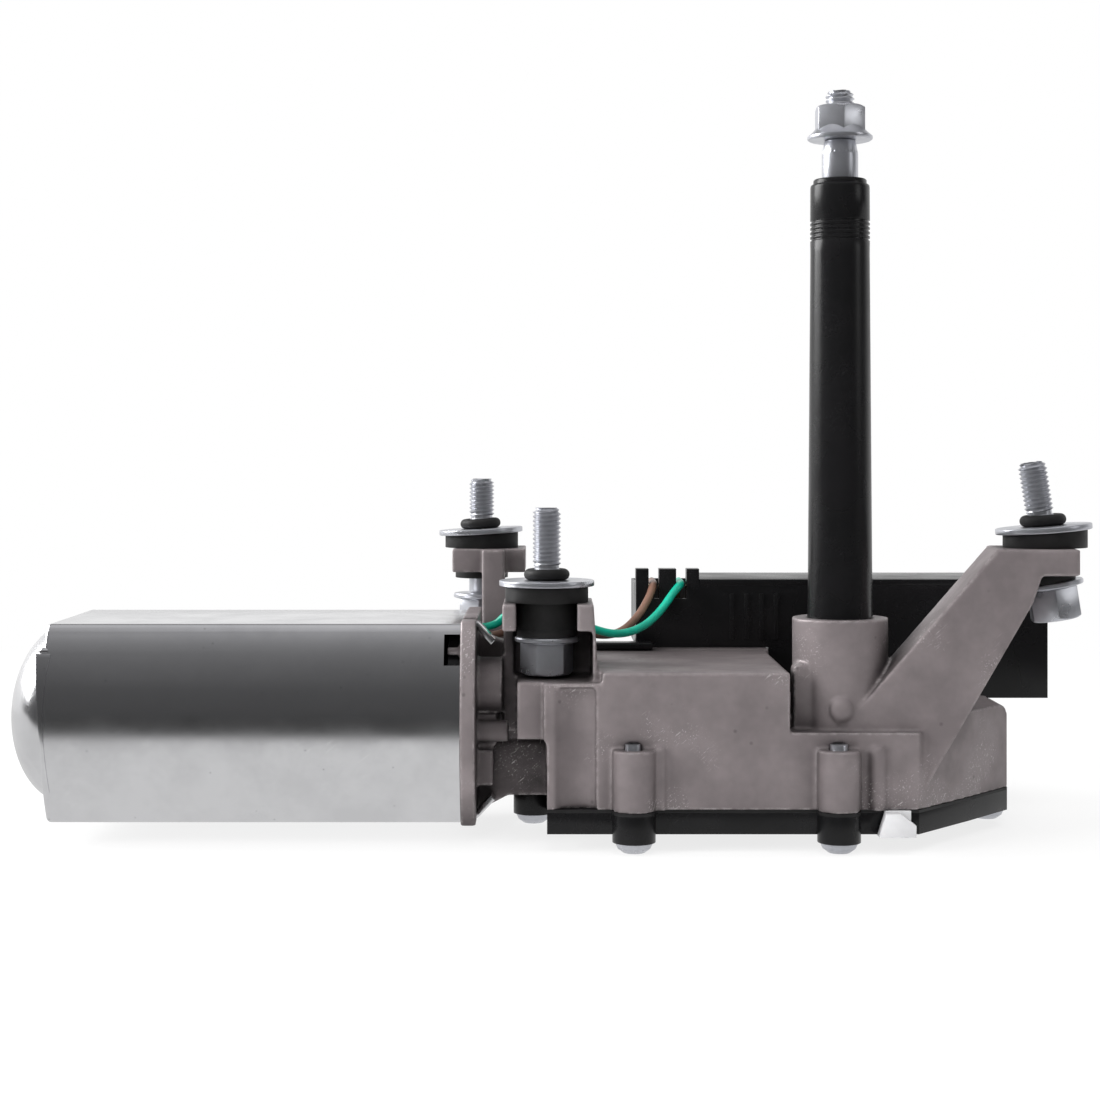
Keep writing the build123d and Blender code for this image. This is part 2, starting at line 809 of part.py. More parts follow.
def make_spindle():
    shaft = turned(
        [
            (0.0, spindle_bottom),
            (spindle_radius - 0.6, spindle_bottom),
            (spindle_radius, spindle_bottom + 0.6),
            (spindle_radius, seat_start - 1.2),
            (spindle_radius - 0.5, seat_start - 1.2),
            (spindle_radius - 0.5, seat_start),
            (spindle_radius, seat_start),
            (spindle_radius, seat_start + seat_length),
            (thread_radius + 0.35, taper_top),
            (thread_radius, taper_top + 0.1),
            (thread_radius, thread_top - 1.0),
            (thread_radius - 1.0, thread_top),
            (0.0, thread_top),
        ]
    )
    for groove in range(24):
        x, y = polar(spindle_radius + 0.55, 15 * groove)
        cut = cylinder(0.8, seat_start + seat_length + 0.4, taper_top + 1.0, x, y)
        shaft -= cut
    shaft -= cylinder(6, link_lower_low - 1.8, link_lower_low - 0.9) - cylinder(
        spindle_radius - 0.8, link_lower_low - 3, link_lower_low
    )
    return shaft


def make_spindle_clip():
    low = link_lower_low - 1.7
    high = link_lower_low - 1.0
    ring = cylinder(spindle_radius + 2.0, low, high) - cylinder(spindle_radius - 0.7, low - 1, high + 1)
    return ring - Pos(-spindle_radius - 1, 0, low + 0.35) * Box(4.4, 5.0, 2)


def make_spindle_pinion():
    points = gear_points(sector_module, pinion_teeth, tooth_gap, 0, pinion_teeth)
    # A tooth of the pinion stands between two of the sector's teeth at rest
    sector_tooth = 180 / sector_full_teeth - rod_sweep / 2
    turn = link_rest - gear_ratio * sector_tooth - 180 / pinion_teeth
    pinion = prism(flat(points, turn), gear_bottom, gear_top)
    return pinion - cylinder(spindle_radius, gear_bottom - 1, gear_top + 1)


def make_spindle_washer():
    low = link_upper_top + 0.2
    ring = cylinder(spindle_radius + 4.0, low, link_ceiling - 0.2)
    return ring - cylinder(spindle_radius + running_gap, low - 1, link_ceiling + 1)


def make_spindle_bushes():
    outer = spindle_radius + bush_wall
    bushes = []
    for low, high in (
        (link_ceiling, link_ceiling + bush_length),
        (boss_top - sleeve_spigot - bush_length - 1, boss_top - sleeve_spigot - 1),
    ):
        bush = cylinder(outer, low, high) - cylinder(spindle_radius + running_gap, low - 1, high + 1)
        bushes.append(bush)
    return bushes


def make_top_bush():
    top = sleeve_top - 3.4
    bush = cylinder(sleeve_bore_radius, top - bush_length, top)
    return bush - cylinder(spindle_radius + running_gap, top - bush_length - 1, top + 1)


def make_spindle_seal():
    low = sleeve_top - 3.4
    ring = cylinder(sleeve_bore_radius, low, sleeve_top - 0.4)
    return ring - cylinder(spindle_radius + running_gap, low - 1, sleeve_top + 1)


def make_spindle_sleeve():
    low = boss_top - sleeve_spigot
    waist = sleeve_top - 18.0
    points = [
        (sleeve_bore_radius, low),
        (sleeve_base_radius, low),
        (sleeve_base_radius, boss_top),
        (sleeve_top_radius + 0.1, waist),
    ]
    groove = 0.3
    for ring in range(5):
        z = waist + 0.8 + ring * 1.25
        points += [
            (sleeve_top_radius + 0.1, z),
            (sleeve_top_radius - groove, z + 0.1),
            (sleeve_top_radius - groove, z + 0.5),
            (sleeve_top_radius + 0.1, z + 0.6),
        ]
    points += [
        (sleeve_top_radius, sleeve_top - sleeve_shoulder - 0.6),
        (sleeve_top_radius - 0.5, sleeve_top - sleeve_shoulder),
        (sleeve_top_radius - 0.8, sleeve_top - sleeve_shoulder),
        (sleeve_top_radius - 0.8, sleeve_top),
        (sleeve_bore_radius, sleeve_top),
    ]
    return turned(points)


def hexagon(across_flats, low, high, x=0.0, y=0.0, turn=0.0):
    corner = across_flats / math.sqrt(3)
    points = [polar(corner, 60 * side + turn) for side in range(6)]
    chamfer = turned(
        [
            (0.0, low),
            (corner, low),
            (corner, high - 0.9),
            (across_flats / 2 - 0.3, high),
            (0.0, high),
        ]
    )
    return Pos(x, y, 0) * (prism(points, low, high) & chamfer)


def make_spindle_nut():
    low = taper_top + 0.2
    flange = turned(
        [
            (0.0, low),
            (nut_flange_radius - 0.5, low),
            (nut_flange_radius, low + 0.5),
            (nut_flange_radius, low + 1.3),
            (nut_across_flats / 2, low + nut_flange_height),
            (0.0, low + nut_flange_height),
        ]
    )
    nut = flange + hexagon(nut_across_flats, low + 1.0, low + nut_height, turn=12)
    return nut - cylinder(thread_radius, low - 1, low + nut_height + 1)


# Gear housing

plan_outline = [
    (base_left, front_y),
    (front_right, front_y),
    (side_x, side_y),
    (51.8, 22.0),
    (51.8, 38.0),
    (40.0, back_y),
    (-60.0, back_y),
    (base_left, 30.0),
]
room_outline = [
    (-33.0, front_y + casting_wall),
    (front_right - 1.8, front_y + casting_wall),
    (side_x - 3.6, side_y + 2.0),
    (43.9, 18.8),
    (43.9, 37.6),
    (38.2, back_y - casting_wall),
    (-46.0, back_y - casting_wall),
    (-46.0, 30.0),
    (-33.0, 30.0),
]
screw_bosses = [boss_front_left, boss_front_right, boss_right, boss_back, boss_left]


def cover_plan(low, high, grow=0.0):
    """The outline that the housing and its cover share, with the wheel's round lobe."""
    outline = prism(plan_outline, low, high)
    outline += cylinder(lobe_radius + grow, low, high, wheel_x, wheel_y)
    for x, y in screw_bosses:
        outline += cylinder(cover_boss_radius + grow, low, high, x, y)
    return outline


def slot_outline(mount, radius, length, low, high):
    """The slot that the rubber slides into, from the stud's axis out to the open side."""
    x, y, opens = mount[0], mount[1], mount[6]
    slot = cylinder(radius, low, high, x, y)
    far = polar(length / 2, opens, x, y)
    slot += Pos(far[0], far[1], (low + high) / 2) * Rot(0, 0, opens) * Box(length, 2 * radius, high - low)
    return slot


def bracket_top(mount):
    return mount[2] - washer_thickness - rubber_top


def bracket_low(mount):
    return bracket_top(mount) - bracket_thickness


def make_front_column():
    """A channel open to the front, under the front-left mounting's forked plate."""
    left = -94.3
    right = housing_left
    top = bracket_top(front_mount)
    plate_low = bracket_low(front_mount)
    seat = plate_low - rubber_low_height - front_mount[7] - head_flange_height - head_height
    block_top = seat - 0.8
    column = block(left, right, -12.6, 14.5, 12.0, top)
    column += block(base_left - 1, right, front_y, -12.0, base_height - 1, block_top)
    column -= block(left + 2.9, right - 2.4, -17, 10.4, block_top, plate_low)
    column -= block(left - 1, left + 4.1, -17, 4.0, base_height - 1, plate_low)
    column -= block(left - 1, left + 12.0, -17, 16, 0, base_height)
    taper = [(right, 22.0), (right + 1, 22.0), (right + 1, top + 1), (right - 2.3, top + 1)]
    column -= side_prism(taper, -17, 16)
    column -= slot_outline(front_mount, rubber_neck_radius + 0.2, 20, plate_low - 1, top + 1)
    return column


def make_back_column():
    """The post and forked plate of the back-left mounting, carried by the wheel's lobe."""
    top = bracket_top(back_mount)
    low = bracket_low(back_mount)
    x, y = back_mount[0], back_mount[1]
    plate = block(x - 8.9, x + 14.0, y - 12, y + 12, low, top)
    post = block(x + 0.8, x + 7.6, y - 22, y - 9.6, 6.0, top)
    post += block(x + 0.8, wheel_x - 20, y - 22, y - 16, 6.0, 30.0)
    post += side_prism([(x + 7.0, 30), (x + 22.0, 30), (x + 7.0, 60)], y - 22, y - 17)
    column = plate + post
    return column - slot_outline(back_mount, rubber_neck_radius + 0.2, 20, low - 1, top + 1)


arm_front = -13.6
arm_back = 1.5


def make_right_arm():
    """The slanted channel that carries the right-hand mounting."""
    top = bracket_top(right_mount)
    low = bracket_low(right_mount)
    outline = [(18.9, 0.6), (0.8, ledge_height), (0.8, ledge_height + 3.4), (41.2, top), (53.5, top)]
    outline += [(53.5, low), (51.0, 56.0)]
    inner = [(18.0, ledge_height + 5), (44.5, top - 6), (47.5, 57.0), (24.5, 20.0), (18.0, 20.0)]
    arm = side_prism(outline, arm_front, arm_back)
    arm -= side_prism(inner, arm_front + 4.0, arm_back + 1)
    plate = block(43.4, 63.8, arm_front, 12.0, low, top)
    plate += side_prism([(53.0, low), (50.4, 55.4), (46.0, 50.0), (44.0, low)], arm_front, arm_front + 4)
    arm += plate
    x, y = right_mount[0], right_mount[1]
    arm -= lean(right_mount, right_mount[4], cylinder(head_flange_radius + 0.7, low - 24, low - 2.5, x, y))
    arm -= cylinder(rubber_low_radius + 0.3, low - 6, low, x, y)
    return arm - slot_outline(right_mount, rubber_neck_radius + 0.2, 20, low - 1, top + 1)


def make_neck():
    """The bearing tube, motor flange and webs between the motor and the gear case."""
    rim, half = can_radius + flange_overhang, can_half_height + flange_overhang
    flange = double_d(rim, half, can_right, flange_right)
    neck = flange + along_x(tunnel_radius, flange_right - 1, -34.0)
    neck += along_x(7.8, flange_right - 1, flange_right + 7.2, y=3.0, z=32.0)
    neck += along_x(3.0, flange_right - 1, flange_right + 9.0, y=-3.0, z=19.8)
    neck += block(flange_right - 1, flange_right + 5.6, -2.0, 7.5, 15.8, 24.2)
    neck += block(flange_right - 1, flange_right + 4.8, -4.0, 6.0, 4.6, 14.6)
    low = motor_z - can_half_height
    web = [(flange_right - 1, low), (flange_right - 1, low + 4), (base_left - 4, 11.0), (base_left + 1, 11.0)]
    web += [(base_left + 1, 0.0), (base_left - 11, 0.0)]
    neck += side_prism(web, 8.0, 40.0)
    rib_top = motor_z + can_half_height - 4.0
    rib_left = flange_right - 1
    rib = [(rib_left, rib_top), (rib_left, 30.0), (housing_left, 30.0), (housing_left, 34.0)]
    neck += side_prism(rib, motor_y - 3.0, motor_y + 3.0)
    neck += end_prism([(12.0, 0.0), (22.0, 0.0), (20.5, 16.0), (14.5, 16.0)], base_left - 20, base_left + 1)
    return neck


def make_gear_housing():
    case = cover_plan(0.0, cover_boss_height)
    for x, y in screw_bosses[2:]:
        case += cylinder(cover_boss_radius, 0, base_height, x, y)
    case += prism(plan_outline, 0.0, base_height)
    case += cylinder(lobe_radius, 0.0, roof_height, wheel_x, wheel_y)
    case += block(housing_left, step_x, front_y, back_y, 0.0, roof_height)
    ledge_right = front_right + (side_x - front_right) * (ledge_y - front_y) / (side_y - front_y)
    right_plan = [(step_x - 1, ledge_y), (ledge_right, ledge_y)] + plan_outline[2:6]
    right_plan.append((step_x - 1, back_y))
    case += prism(right_plan, 0.0, right_roof_height)
    ledge = [(step_x - 1, front_y), (front_right, front_y), (ledge_right, ledge_y)]
    case += prism(ledge + [(ledge_right, ledge_y + 1), (step_x - 1, ledge_y + 1)], 0.0, ledge_height)
    corner = [(48.3, right_roof_height + 1), (48.3, right_roof_height), (50.9, right_roof_height - 0.9)]
    case -= side_prism(corner + [(52.0, right_roof_height - 3.5), (53.0, right_roof_height + 1)], 4.0, 40.0)
    case += cylinder(boss_radius, link_ceiling - 1, boss_top)
    case += block(-14.2, -9.8, -9.4, -2.0, ledge_height - 1, 36.8) + along_y(2.2, -9.4, -2.0, -12.0, 36.8)
    case += along_y(3.2, -13.6, -10.0, -1.0, 26.0)
    case += make_neck() + make_front_column() + make_back_column() + make_right_arm()
    # Hollows inside
    case -= cylinder(wheel_chamber_radius, -1, wheel_ceiling, wheel_x, wheel_y)
    case -= prism(room_outline, -1, link_ceiling)
    case -= block(-78.0, -37.0, front_y + casting_wall, 5.0, -1, base_height - casting_wall)
    case -= block(-59.0, -37.0, front_y + casting_wall, 5.0, -1, wheel_ceiling)
    case -= along_x(tunnel_bore, -84.0, shaft_right + 3.0)
    case -= along_x(shaft_radius + 1.5, can_right - 1, -80.0)
    case -= along_x(bearing_ball_radius, can_right - 1, bearing_middle)
    case -= bearing_body()
    case -= cylinder(axle_radius, wheel_ceiling - 1, roof_height - 1.5, wheel_x, wheel_y)
    case -= cylinder(spindle_radius + bush_wall, link_ceiling - 2, boss_top + 1)
    case -= cylinder(sleeve_base_radius, boss_top - sleeve_spigot, boss_top + 1)
    for x, y in screw_bosses:
        case -= cylinder(screw_radius, -1, cover_boss_height + screw_tip + 0.2, x, y)
    # A soft hollow down the front of the column, beside its right-hand wall
    groove = cylinder(10.0, -1, base_height + 15, -73.2, -23.4)
    case -= groove & block(-90, housing_left - 1.7, -40, 0, -1, base_height + 14.5)
    # Notches that the can's bent straps pass through
    for side in (-1, 1):
        edge = motor_z + side * (can_half_height + flange_overhang)
        slot_top = max(edge + side, edge - side * (tab_thickness + flange_overhang + 0.1))
        slot_low = min(edge + side, edge - side * (tab_thickness + flange_overhang + 0.1))
        case -= block(
            can_right - 1,
            flange_right + 0.1,
            motor_y + tab_offset - tab_width / 2 - 0.1,
            motor_y + tab_offset + tab_width / 2 + 0.1,
            slot_low,
            slot_top,
        )
    lug_front = motor_y - can_radius + 1.2
    lug = block(can_right - 3.6, can_right + 0.1, lug_front, lug_front + 6.8, lug_low + 0.4, lug_low + 5.6)
    case += lug & double_d(can_radius - 0.3, can_half_height - 0.3, can_right - 5, can_right + 1)
    for x, y, z in ((flange_right - 2, 30.0, 45.5), (flange_right - 2, 34.5, 42.5)):
        case -= along_x(wire_radius + 0.1, can_right - 1, flange_right + 1, y=y, z=z)
    # Pads that the electronics box stands on
    case += block(-50.0, -40.0, box_front + 2, box_front + 12, roof_height - 1, box_high)
    case += block(box_screw_x - 6, box_screw_x + 6, back_y - 7, box_screw_y + 5, box_low - 8, box_low)
    case -= cylinder(box_screw_radius, box_low - 9, box_low + 1, box_screw_x, box_screw_y)
    return case


# Bottom cover

def make_bottom_cover():
    outline = cover_plan(-cover_depth, -seal_thickness)
    hollow = prism(room_outline, -cover_depth + cover_plate, 0)
    hollow += cylinder(wheel_chamber_radius, -cover_depth + cover_plate, 0, wheel_x, wheel_y)
    hollow += block(-78.0, -37.0, front_y + casting_wall, 5.0, -cover_depth + cover_plate, 0)
    outline -= hollow
    for x, y in screw_bosses:
        outline += cylinder(cover_boss_radius, -cover_boss_drop, -cover_depth + 1, x, y)
    outline += block(-30.0, -28.0, 8.0, 44.0, -cover_depth + 1, -cover_depth + cover_plate + 1.6)
    outline += block(-28.5, 44.0, 18.0, 20.0, -cover_depth + 1, -cover_depth + cover_plate + 1.6)
    for x, y in screw_bosses:
        outline -= cylinder(screw_radius + 0.1, -cover_boss_drop - 1, 1, x, y)
    # Pocket for the vent plug at the front edge
    return outline - prism(vent_outline(), -cover_depth - 1, 1)


def make_cover_seal():
    seal = cover_plan(-seal_thickness, 0.0)
    hollow = prism(room_outline, -1, 1)
    hollow += cylinder(wheel_chamber_radius, -1, 1, wheel_x, wheel_y)
    hollow += block(-78.0, -37.0, front_y + casting_wall, 5.0, -1, 1)
    seal -= hollow
    for x, y in screw_bosses:
        seal -= cylinder(screw_radius + 0.1, -2, 1, x, y)
    return seal - prism(vent_outline(), -2, 1)


def vent_outline():
    return [(9.6, front_y - 1), (9.6, front_y + 2.2), (17.0, front_y + 2.2), (17.0, front_y - 1)]


def make_vent_plug():
    """A pale plug with a slanted nose that stands out of the cover's front edge."""
    body = block(9.7, 16.9, front_y - 0.9, front_y + 2.1, -cover_depth, -0.1)
    outline = [(7.6, -cover_depth), (17.6, -cover_depth), (17.6, -3.4), (13.4, -0.3), (9.6, -0.3)]
    nose = side_prism(outline, front_y - 5.0, front_y - 0.9)
    return body + nose


def make_cover_screws():
    screws = []
    for x, y in screw_bosses:
        low = -cover_boss_drop
        shank_top = cover_boss_height + screw_tip if y < 0 else cover_boss_height - 1
        screw = cylinder(screw_radius, low - 0.5, shank_top)
        head = turned(
            [
                (0.0, low - screw_head_height),
                (screw_head_radius - 2.0, low - screw_head_height),
                (screw_head_radius - 0.5, low - screw_head_height * 0.6),
                (screw_head_radius, low - 0.6),
                (screw_head_radius, low),
                (0.0, low),
            ]
        )
        socket = Pos(0, 0, low - screw_head_height + 0.6) * Box(4.4, 1.0, 1.4)
        socket += Pos(0, 0, low - screw_head_height + 0.6) * Box(1.0, 4.4, 1.4)
        screws.append(Pos(x, y, 0) * (screw + head - socket))
    return screws


# Isolator mountings, built upright about the stud and then leaned in the rubber

def lean(mount, turn, solid):
    x, y = mount[0], mount[1]
    pivot = bracket_top(mount)
    return Pos(x, y, pivot) * Rot(0, -turn, 0) * Pos(-x, -y, -pivot) * solid


def tube_low(mount):
    return bracket_low(mount) - rubber_low_height - 0.2


def make_grommet(mount):
    """The rubber, with its top pressed to the washer's lean and its bore to the bolt's."""
    x, y, seat = mount[0], mount[1], mount[2] - washer_thickness
    top = bracket_top(mount)
    low = bracket_low(mount)
    low_end = low - rubber_low_height - 2
    rubber = turned(
        [
            (tube_radius, low_end),
            (rubber_low_radius, low_end),
            (rubber_low_radius, low - 0.2),
            (rubber_neck_radius, low),
            (rubber_neck_radius, top),
            (rubber_radius, top),
            (rubber_radius, seat + 3),
            (tube_radius, seat + 3),
        ],
        x,
        y,
    )
    above = lean(mount, mount[5], block(x - 30, x + 30, y - 30, y + 30, seat, seat + 30))
    end = tube_low(mount) + 0.1
    below = lean(mount, mount[4], block(x - 30, x + 30, y - 30, y + 30, end - 30, end))
    bore = lean(mount, mount[4], cylinder(tube_radius, low_end - 20, seat + 10, x, y))
    return rubber - above - below - bore


def make_isolator_tube(mount):
    x, y, seat = mount[0], mount[1], mount[2] - washer_thickness
    slack = tube_radius * math.sin(math.radians(abs(mount[4] - mount[5]))) + 0.1
    low_end = tube_low(mount)
    tube = cylinder(tube_radius, low_end, seat - slack, x, y)
    tube -= cylinder(stud_radius + 0.1, low_end - 1, seat + 1, x, y)
    return lean(mount, mount[4], tube)


def make_isolator_washer(mount):
    x, y, seat = mount[0], mount[1], mount[2] - washer_thickness
    disc = cylinder(washer_radius, seat, seat + washer_thickness, x, y)
    disc -= cylinder(stud_radius + 0.1, seat - 1, seat + 5, x, y)
    hole = cylinder(stud_radius + 0.1, seat - 4, seat + 6, x, y)
    return lean(mount, mount[5], disc) - lean(mount, mount[4], hole)


def make_isolator_ring(mount):
    x, y, seat = mount[0], mount[1], mount[2]
    ring = Pos(x, y, seat + ring_section) * Torus(ring_radius - ring_section, ring_section)
    ring = lean(mount, mount[5], ring)
    return ring - lean(mount, mount[4], cylinder(stud_radius, seat - 4, seat + 8, x, y))


def make_isolator_bolt(mount):
    x, y, seat, tip = mount[0], mount[1], mount[2], mount[3]
    head_top = bracket_low(mount) - rubber_low_height - mount[7]
    flange_low = head_top - head_flange_height
    thread_start = seat + stud_thread_start
    shank_top = thread_start - stud_relief_length
    bolt = turned(
        [
            (0.0, flange_low),
            (head_flange_radius - 0.4, flange_low),
            (head_flange_radius, flange_low + 0.5),
            (head_flange_radius, head_top - 0.6),
            (head_flange_radius - 0.5, head_top),
            (stud_radius, head_top),
            (stud_radius, shank_top),
            (stud_relief_radius, shank_top),
            (stud_relief_radius, thread_start),
            (stud_thread_radius, thread_start),
            (stud_thread_radius, tip - 1.0),
            (stud_thread_radius - 1.0, tip),
            (0.0, tip),
        ],
        x,
        y,
    )
    turn = 8 if mount is front_mount else 24
    head = hexagon(head_across_flats, 0, head_height, turn=turn)
    head = Pos(x, y, flange_low) * Rot(180, 0, 0) * head
    head -= cylinder(4.0, flange_low - head_height - 1, flange_low - head_height + 1.2, x, y)
    return lean(mount, mount[4], bolt + head)


# Electronics box

def box_profile(inset, top):
    return [
        (box_left + inset, box_high + inset),
        (box_step_x + inset, box_high + inset),
        (box_step_x + inset, box_low + inset),
        (box_right - inset, box_low + inset),
        (box_right - inset, top),
        (box_left + inset, top),
    ]


post_spans = [(box_left, -50.9), (-47.7, -42.45), (-39.25, lid_left - 0.1)]


def pin_places():
    """Y and height of the four blade pins, in a square at the middle of the plug's mouth."""
    middle = (mouth_front + mouth_back) / 2
    low = box_low + mouth_rise + 4.5
    return [(middle + side, z) for side in (-2.0, 2.0) for z in (low, low + 5.0)]


def make_electronics_box():
    shell = side_prism(box_profile(0.0, box_top), box_front, box_back)
    shell -= side_prism(box_profile(box_wall, box_top + 1), box_front + box_wall, box_back - box_wall)
    for left, right in post_spans:
        shell += block(left, right, box_front, box_front + post_depth, box_top - 12.6, post_top)
    for left, right in ((post_spans[0][1], post_spans[1][0]), (post_spans[1][1], post_spans[2][0])):
        shell -= block(left, right, box_front - 1, box_front + post_depth + 1, box_top - 4.1, post_top + 1)
    shell += block(lid_left - 1.6, lid_left, box_front + 1, box_back - 1, box_high + 1, box_top)
    for rib in range(4):
        x = -26.0 + 4.5 * rib
        shell += block(x, x + 1.2, box_front - 0.8, box_front + 0.5, box_high + 2.4, box_top - 2.6)
    # Mouth for the vehicle's plug in the right-hand end
    mouth_low = box_low + mouth_rise
    shell -= block(box_right - 3, box_right + 1, mouth_front, mouth_back, mouth_low, mouth_low + mouth_height)
    shell += block(box_right - 12, box_right - 10, box_front + 1, box_back - 1, box_low + 1, mouth_low + 18.0)
    for y, z in pin_places():
        shell -= block(box_right - 13, box_right - 9, y - 0.35, y + 0.35, z - 0.35, z + 0.35)
    shell -= cylinder(box_screw_radius + seat_gap, box_low - 1, box_low + 3, box_screw_x, box_screw_y)
    return shell


def make_box_lid():
    top = box_top + lid_thickness
    lid = block(lid_left, box_right, box_front, box_back, box_top, top)
    lip = block(
        lid_left + 0.4,
        box_right - box_wall - seat_gap,
        box_front + box_wall + seat_gap,
        box_back - box_wall - seat_gap,
        box_top - 2.0,
        box_top + 0.2,
    )
    lip -= block(
        lid_left + 2.0,
        box_right - box_wall - 1.8,
        box_front + box_wall + 1.8,
        box_back - box_wall - 1.8,
        box_top - 3.0,
        box_top,
    )
    return lid + lip


def make_circuit_board():
    board = block(
        box_step_x + box_wall + 0.2,
        box_right - 12.4,
        box_front + box_wall + 0.2,
        box_back - box_wall - 0.2,
        board_top - board_thickness,
        board_top,
    )
    return board - cylinder(3.4, board_top - 3, board_top + 1, box_screw_x, box_screw_y)


def make_board_posts():
    posts = []
    for x in (box_step_x + board_post_inset, box_right - 17.6):
        for y in (box_front + board_post_inset, box_back - board_post_inset):
            posts.append(cylinder(2.2, box_low + box_wall, board_top - board_thickness, x, y))
    return posts


def make_relay():
    return block(8.0, 27.0, 64.0, 80.0, board_top, board_top + 16.0)


def make_capacitor():
    can = cylinder(5.0, board_top, board_top + 15.0, -3.0, 66.0)
    return [can, cylinder(3.4, board_top, board_top + 10.0, -3.0, 78.0)]


def make_control_chip():
    chip = block(32.0, 44.0, 72.0, 80.0, board_top + 0.4, board_top + 2.6)
    for lead in range(6):
        x = 32.9 + lead * 1.9
        chip += block(x, x + 0.6, 71.0, 81.0, board_top, board_top + 1.0)
    return chip


def make_connector_pins():
    pins = []
    for y, z in pin_places():
        pin = block(box_right - 15.0, box_right - 4.0, y - 0.35, y + 0.35, z - 0.35, z + 0.35)
        pin += block(box_right - 15.0, box_right - 14.3, y - 0.35, y + 0.35, board_top, z + 0.35)
        pins.append(pin)
    return pins


def make_wire_terminals():
    """Blade terminals in the box that the two motor leads end on."""
    blades = []
    for x in (-49.3, -40.85):
        top = box_top - 0.9
        blade = block(x - 0.9, x + 0.9, box_front + 9.0, box_front + 22.0, top - 0.8, top)
        blade += block(x - 0.9, x + 0.9, box_front + 21.0, box_front + 22.0, box_high + box_wall, top)
        blades.append(blade)
    return blades


def make_box_screw():
    low = box_low - 8.0
    screw = cylinder(box_screw_radius, low - 1.0, box_low + box_wall + 3, box_screw_x, box_screw_y)
    return screw + cylinder(2 * box_screw_radius, low - 2.4, low, box_screw_x, box_screw_y)


green_route = [
    (flange_right - 4, 30.0, 45.5),
    (-98.0, 30.0, 45.5),
    (-94.0, 28.8, 49.8),
    (-87.0, 26.8, 52.4),
    (-78.0, 27.0, 50.0),
    (-69.0, 29.0, 45.4),
    (-61.0, 32.0, 43.2),
    (-53.4, 37.0, 45.0),
    (-47.6, 42.6, 49.8),
    (-43.4, 48.2, 55.2),
    (-40.95, 54.0, 57.0),
    (-40.75, 61.0, 56.9),
    (-40.85, 68.0, 57.0),
]
brown_route = [
    (flange_right - 4, 34.5, 42.5),
    (-97.5, 34.5, 42.5),
    (-91.0, 33.6, 46.0),
    (-83.0, 33.4, 47.2),
    (-74.0, 35.0, 45.0),
    (-66.0, 37.6, 42.4),
    (-59.4, 40.6, 43.4),
    (-54.2, 44.6, 48.2),
    (-50.8, 49.0, 53.6),
    (-49.5, 54.6, 56.6),
    (-49.2, 61.4, 56.9),
    (-49.3, 68.0, 57.0),
]


def bend_radii(route):
    """The arc at each corner is 0.45 of its shorter run over the tangent of half the turn."""
    radii = []
    for before, corner, after in zip(route, route[1:], route[2:]):
        first = Vector(*corner) - Vector(*before)
        second = Vector(*after) - Vector(*corner)
        half_turn = math.radians(first.get_angle(second)) / 2
        radii.append(0.45 * min(first.length, second.length) / math.tan(half_turn))
    return radii


def make_wire(name, route):
    radii = bend_radii(route)
    path = FilletPolyline(*route, radius=radii)
    start = Plane(origin=path @ 0, z_dir=path % 0)
    wire = sweep(start * Circle(wire_radius), path=path)
    print(name, "length", round(path.length, 1), "radii", [round(radius, 1) for radius in radii])
    print(name, "volume ratio", round(wire.volume / (math.pi * wire_radius**2 * path.length), 4))
    return wire


def export(node, pieces):
    pieces = pieces if isinstance(pieces, list) else [pieces]
    lifted = [Pos(0, 0, cover_depth) * piece for piece in pieces]
    solids = [solid for piece in lifted for solid in piece.solids()]
    shape = solids[0] if len(solids) == 1 else Compound(children=solids)
    export_step(shape, os.path.join("parts", node + ".step"))


mounts = {"front_left": front_mount, "back_left": back_mount, "right": right_mount}


